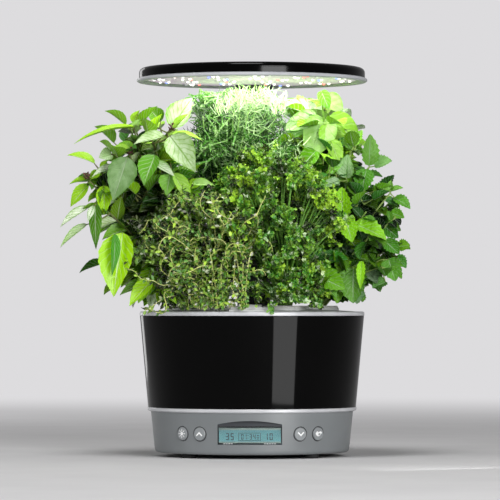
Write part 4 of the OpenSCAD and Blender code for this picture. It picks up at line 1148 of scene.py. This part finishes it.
mint = {
    "leaf": {"grid": (14, 6), "width": 15, "belly": 0.76, "round": 0.85, "bend": 0.7, "cup": 0.2,
             "fold": 0.35, "thick": 0.22, "quilt": 0.6, "veins": 7, "keel": 0.7, "teeth": 0.2, "twist": 0.4},
    "clumpStems": 2,
    "stem": (1.4, 0.8),
    "stalk": 0.8,
    "pairs": {"gap": 12, "size": 22, "fromShare": 0.3, "rise": 0.35, "lime": 0.15, "pale": 0.05},
    "outer": {"long": 20, "wide": 16, "lime": 0.2, "pale": 0.05},
    "tips": [(117, -12, 288), (95, -30, 274), (138, -10, 262), (90, -48, 236), (146, -6, 212),
             (101, -58, 188), (104, -34, 166), (88, -62, 164), (110, 0, 164), (72, -80, 168),
             (104, 36, 166), (100, -40, 184)],
    "hero": [
        ((117, -10, 289), (118, -12, 321), 18, 0.85, 0.3, 0.1),
        ((122, -10, 289), (140, -14, 294), 17, 0.7, 0.25, 0.2),
        ((94, -30, 276), (96, -34, 300), 20, 0.85, 0.3, 0.55),
        ((114, -20, 286), (109, -30, 260), 20, 0.85, 0.15, 0),
        ((100, -20, 279), (102, -28, 259), 14, 0.8, 0.3, 0),
        ((90, -50, 237), (90, -54, 267), 22, 0.9, 0.9, 0),
        ((88, -40, 274), (70, -48, 266), 10, 0.6, 0.2, 0.6),
        ((102, -50, 231), (134, -60, 214), 22, 0.8, 0.7, 0),
        ((93, -54, 236), (100, -64, 212), 19, 0.85, 0.7, 0),
        ((93, -54, 236), (78, -60, 232), 12, 0.7, 0.6, 0),
        ((138, -10, 264), (128, -14, 267), 8, 0.6, 0.5, 0.1),
        ((138, -10, 264), (139, -12, 275), 8, 0.7, 0.5, 0.1),
        ((138, -10, 264), (151, -14, 267), 8, 0.5, 0.4, 0.1),
        ((142, -10, 258), (158, -16, 246), 13, 0.75, 0.2, 0),
        ((138, -10, 243), (152, -16, 237), 12, 0.7, 0.3, 0),
        ((130, -14, 231), (146, -20, 217), 16, 0.8, 0.05, 0),
        ((146, -4, 209), (158, -8, 210), 13, 0.8, 0.5, 0),
        ((144, -6, 200), (154, -10, 187), 12, 0.8, 0.05, 0),
        ((132, -20, 215), (147, -26, 201), 15, 0.8, 0.1, 0),
        ((136, -20, 197), (143, -28, 174), 22, 0.85, 0.2, 0.05),
        ((134, -24, 174), (120, -30, 167), 14, 0.85, 0.1, 0.05),
        ((66, -70, 179), (93, -78, 166), 22, 0.85, 0.4, 0),
        ((101, -60, 187), (101, -70, 152), 29, 0.9, 0.2, 0.05),
        ((109, -70, 194), (108, -78, 166), 9, 0.7, 0.85, 0)],
}
mintLeaf = leafMaterial("mint_leaf", "#051605", "#3a8a1a", "#98dc14", "#cfe6c4", 0.42, 7, 0.6, blister=3)
mintStem = stemMaterial("mint_stem", "#6c8a3a", "#a9c46a")
plant = newPlant(37, "mint")
growBroadHerb(plant, mint)
piece = finishPlant(plant, "mint_plant", [mintLeaf, mintStem])
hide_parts("mint")

# curly parsley: rosettes of small ruffled leaflets at the ends of branching stalks

parsley = {
    "leaf": {"grid": (4, 2), "belly": 1.2, "round": 0.5, "bend": 0.9, "cup": 0.6, "thick": 0.2,
             "ruffle": 0.4, "waves": 11, "twist": 1.0, "teeth": 0.5},
    "tips": [(48, -88, 164), (30, -92, 168), (66, -78, 164), (40, -96, 178), (20, -84, 188), (56, -90, 184),
             (8, -106, 182), (24, -103, 156), (34, -100, 158), (43, -96, 157), (52, -92, 158),
             (60, -86, 157), (0, -50, 200), (-8, -40, 230), (-24, -36, 270), (-30, -38, 256),
             (-14, -38, 276), (10, -46, 240), (-4, -60, 190), (12, -62, 192), (0, -30, 256),
             (-14, -34, 244)],
    "front": 42,          # tips over the side that faces the room
    "top": 292,           # mm, sloping down to the right
    "stem": (1.0, 0.6),   # radius in mm at its foot and at its end
    "twigs": 5,
    "twig": (0.5, 0.3),
    "twigLong": (9, 18),  # mm, at least and at most, as are the next pairs
    "leafletLong": (3, 6.5),
    "leafletWide": (2.6, 5),
    "leafletGap": 2.55,
}
parsleyLeaf = leafMaterial("parsley_leaf", "#010601", "#48a41c", "#b8ea38", "#e8f6d4", 0.28, 3, 0.2, spec=0.6,
                           tipLime=0.7)
parsleyStem = stemMaterial("parsley_stem", "#4c8a2c", "#8cc04c")
plant = newPlant(41, "parsley")
chance = plant["chance"]
given = [np.array(tip, float) for tip in parsley["tips"]]
for tip in given + crownTips(plant, 3, 0.5) + frontTips(plant, parsley["front"]):
    tip[2] = min(tip[2], parsley["top"] - 0.55 * max(0, tip[0] - 20) + chance.uniform(-6, 0))
    if not mainStem(plant, tip, *parsley["stem"], lean=0.7, steps=7):
        continue
    outside = crownDepth(plant, tip)
    facing = unit(tip - plant["crown"]["centre"]) + np.array((0, -0.2, 0.7))
    for _ in range(parsley["twigs"]):
        way = unit(facing * 0.7 + scatter(chance, 0.9))
        end = tip + way * chance.uniform(*parsley["twigLong"])
        twig = bezier(tip - (0, 0, 2), (tip + end) / 2, end + (0, 0, 2), 3)
        addStem(plant, twig, *parsley["twig"], 3)
        # painted light: outer twigs, more so high ones, get lime; painted shade darkens twigs deep in the
        # crown and a third of all twigs; a few outer leaflets are given painted glare
        youngLimeAndPaintedLight = outside * (chance.random() < 0.2 + 0.3 * (tip[2] > 240)) * chance.uniform(0.3, 0.8)
        shade = (chance.uniform(0.5, 1.0) if chance.random() < 0.66 else 0.12) * (0.1 + 0.9 * outside)
        for base, ahead, _ in alongRoute(twig, parsley["leafletGap"], 0.15, chance):
            flat = unit(np.cross(ahead, facing))
            lime = clamp(chance.gauss(youngLimeAndPaintedLight, 0.15))
            for side in (1, -1):
                out = unit(flat * side + ahead * 0.5 + scatter(chance, 0.4))
                leafTip = base + out * chance.uniform(*parsley["leafletLong"])
                leaflet = dict(parsley["leaf"], width=chance.uniform(*parsley["leafletWide"]))
                addLeaf(plant, base, leafTip, leaflet, chance.uniform(0.2, 0.8),
                        (lime, 0.8 * outside * (chance.random() < 0.08), shade * chance.uniform(0.4, 1.2)))
piece = finishPlant(plant, "curly_parsley_plant", [parsleyLeaf, parsleyStem])
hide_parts("curly_parsley")

# dill: sprays of hair-fine threads along thin branches

dill = {
    "tips": [(-4, 30, 368), (6, 26, 366), (-14, 22, 366), (14, 34, 367), (-22, 36, 362), (0, 50, 368),
             (18, 24, 356), (36, 20, 330), (40, 12, 314), (24, 16, 340), (30, 10, 322), (-50, 20, 340),
             (-56, 24, 324), (2, 10, 367), (-8, -20, 369), (4, -26, 370), (12, -16, 369), (-16, -10, 368),
             (8, -4, 370), (-2, 0, 370), (-10, 8, 270), (6, 0, 285), (-22, 0, 282), (20, 4, 292),
             (30, -20, 300), (44, -18, 292), (36, -10, 312), (22, -16, 306), (50, -8, 300), (12, -14, 300)],
    "stem": (1.0, 0.4),   # radius in mm at its foot and at its end, as are the pairs called thick
    "branchGap": 6.4,     # mm
    "branch": 20,
    "branchThick": (0.35, 0.2),
    "threadGap": 5.8,
    "thread": 11,
    "threadThick": (0.62, 0.2),
    "inner": 60,          # in each clump
    "innerLong": (8, 13),  # mm to each side, at least and at most
    "innerThick": (1.1, 0.5),
    "wisps": 130,
    "wispSide": 36,       # how far the wisps reach, in mm
    "wispDepth": (-30, -6),
    "wispFoot": (346, 361),
    "wispTop": 370.6,
    "wispLong": (6, 12),
    "wispThick": (0.6, 0.3),
}
dillLeaf = leafMaterial("dill_thread", "#123c0a", "#66b83c", "#d2f2a6", "#f8fdf0", 0.5, 3, 0.1, spec=0.12)
dillStem = stemMaterial("dill_stem", "#6ca83c", "#b8dc84")
plant = newPlant(53, "dill")
chance = plant["chance"]
for tip in dill["tips"] + crownTips(plant, 3):
    route = mainStem(plant, tip, *dill["stem"], lean=0.7, steps=10)
    for spot, along, _ in alongRoute(route, dill["branchGap"], 0.45, chance):
        way = unit(scatter(chance, 1) + along * 0.8)
        long = dill["branch"] * chance.uniform(0.6, 1.2)
        branch = bezier(spot, spot + way * long * 0.5, spot + unit(way + along * 0.6) * long, 4)
        paintedLampGlare = clamp((spot[2] - 316 + 0.2 * spot[0]) / 50) * chance.uniform(0.3, 1)
        # painted light: only the threads nearest the room and the lamps are given lime and light tints, those
        # near the lamps also painted glare; the rest are in painted shade
        outside = max(clamp((24 - spot[1]) / 26), clamp((spot[2] - 335) / 20))
        tint = (0.5 * outside, paintedLampGlare, 0.6 * outside)
        if not addStem(plant, branch, *dill["branchThick"], 3, tint, 0):
            continue
        for base, ahead, _ in alongRoute(branch, dill["threadGap"], 0.1, chance):
            flat = unit(np.cross(ahead, (0.3, 0.9, 0.3)))
            for side in (1, -1):
                out = unit(flat * side + ahead * 0.9 + scatter(chance, 0.35))
                light = outside * (chance.random() < 0.5 + 0.3 * paintedLampGlare)
                tint = (light * chance.uniform(0.4, 1.0), max(paintedLampGlare, 0.35 * light) * chance.uniform(0.3, 1),
                        max(light, 0.6 * outside * chance.random()))
                end = base + out * dill["thread"] * chance.uniform(0.6, 1.2)
                bow = (base + end) / 2 + scatter(chance, 1.6)
                addStem(plant, bezier(base, bow, end, 3), *dill["threadThick"], 3, tint, 0)
for _, place, radius in crownClumps(plant["crown"]):
    # threads inside each clump, in painted shade, which keep the crown from being seen through
    for _ in range(dill["inner"]):
        spot = place + 0.62 * radius * scatter(chance, 1)
        way = unit(scatter(chance, 1)) * chance.uniform(*dill["innerLong"])
        bow = spot + scatter(chance, 3)
        if allClear(np.array([spot - way, bow])):
            tint = (0.35 * chance.random(), 0, chance.uniform(0.2, 0.65))
            addStem(plant, bezier(spot - way, bow, spot + way, 3), *dill["innerThick"], 3, tint, 0)
for _ in range(dill["wisps"]):
    # the highest tips, given painted light and glare from the lamps just above them
    x, y = chance.uniform(-dill["wispSide"], dill["wispSide"]), chance.uniform(*dill["wispDepth"])
    base = np.array((x, y, chance.uniform(*dill["wispFoot"]) - 0.25 * abs(x)))
    aside, ahead, long = chance.gauss(0, 4), chance.gauss(0, 3), chance.uniform(*dill["wispLong"])
    end = base + (aside, ahead, min(long, dill["wispTop"] - base[2]))
    bow = (base + end) / 2 + (chance.gauss(0, 1.5), chance.gauss(0, 1.5), 0)
    tint = (chance.uniform(0.3, 0.9), chance.uniform(0, 0.5), chance.uniform(0.4, 1))
    addStem(plant, bezier(base, bow, end, 3), *dill["wispThick"], 3, tint, 0)
piece = finishPlant(plant, "dill_plant", [dillLeaf, dillStem])
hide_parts("dill")

# thyme: wiry curling stems with tiny paired leaves, tumbling over the front

thyme = {
    "leaf": {"grid": (3, 2), "width": 3.0, "belly": 0.9, "round": 0.6, "bend": 0.3, "cup": 0.4,
             "thick": 0.25},
    "leafLong": (3.5, 7),  # mm, at least and at most
    "stem": (0.75, 0.4),  # radius in mm at its foot and at its end
    "stems": 9,           # in each clump
    "wander": (5, 13),    # steps of a stem's end
    "hanging": 110,
    "hangFrom": (-86, 48),  # mm, left to right along the rim
    "hangRadius": 108,
    "crest": (160, 206),
    "hangTo": (146, 151),
    "step": 3.4,          # mm, of a stem's wandering end
    "turn": 0.42,
    "pairGap": 4.4,
}
thymeLeaf = leafMaterial("thyme_leaf", "#020701", "#52941e", "#bee846", "#f6f8e4", 0.36, 3, 0.1)
thymeStem = stemMaterial("thyme_stem", "#98a840", "#eef0a0")
plant = newPlant(67, "thyme")
chance = plant["chance"]
routes = []
for tip in crownTips(plant, thyme["stems"], 0.6):
    start = podTop(plant)
    bow = (start + tip) / 2 + (chance.uniform(-10, 10), chance.uniform(-8, 2), chance.uniform(6, 30))
    route = bezier(start, bow, tip, 8)
    way = unit(route[-1] - route[-2] + scatter(chance, 0.8))
    veer = scatter(chance, 1)
    for _ in range(chance.randint(*thyme["wander"])):
        # the end wanders in curls, and is pulled back towards the clump
        veer = unit(veer + scatter(chance, 0.5))
        way = unit(way + thyme["turn"] * veer + (tip - route[-1]) * 0.012)
        route.append(route[-1] + way * thyme["step"])
    routes.append(route)
left, right = thyme["hangFrom"]
for k in range(thyme["hanging"]):
    # these arch over and hang down in front of the rim
    x = left + (right - left) * (k + 0.5) / thyme["hanging"]
    y = -math.sqrt(thyme["hangRadius"] ** 2 - x ** 2)
    start = podTop(plant)
    aside, back = chance.uniform(-20, 20), chance.uniform(-1, 4)
    crest = np.array((x + aside, y + back, chance.uniform(*thyme["crest"])))
    route = bezier(start, (start + crest) / 2 + np.array((0, 0, 16)), crest, 7)
    end = (x, y - chance.uniform(0, 3), chance.uniform(*thyme["hangTo"]))
    route += bezier(crest, (x + chance.uniform(-14, 14), y - 4, crest[2] + 4), end, 7)[1:]
    routes.append(route)
for route in routes:
    # painted light and shade: most stems that end in front of the rim get the light stem colour, the others
    # the leaf's dark colour
    lit = route[-1][1] < -88 and chance.random() < 0.75
    tint, kind = ((0.5, 0.2, 0.5), 1) if lit else ((0.1, 0, 0.3), 0)
    if not addStem(plant, route, *thyme["stem"], 4, tint, kind):
        continue
    for base, along, _ in alongRoute(route, thyme["pairGap"], 0.35, chance):
        flat = unit(np.cross(along, scatter(chance, 1)))
        # painted light: leaves towards the front are given more lime, lighter tints and a little painted
        # glare; those further back painted shade
        outside = clamp((-base[1] - 76) / 26)
        for side in (1, -1):
            way = unit(flat * side + along * 0.6)
            lime = clamp(chance.gauss(0.15, 0.35)) * (0.1 + 0.9 * outside)
            whitening = 0.9 * (chance.random() > 0.93) * outside
            shade = (chance.uniform(0.45, 1.0) if chance.random() < 0.6 else 0.1) * (0.05 + 0.95 * outside)
            leafTip = base + way * chance.uniform(*thyme["leafLong"])
            addLeaf(plant, base, leafTip, thyme["leaf"], chance.random(), (lime, whitening, shade))
piece = finishPlant(plant, "thyme_plant", [thymeLeaf, thymeStem])
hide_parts("thyme")
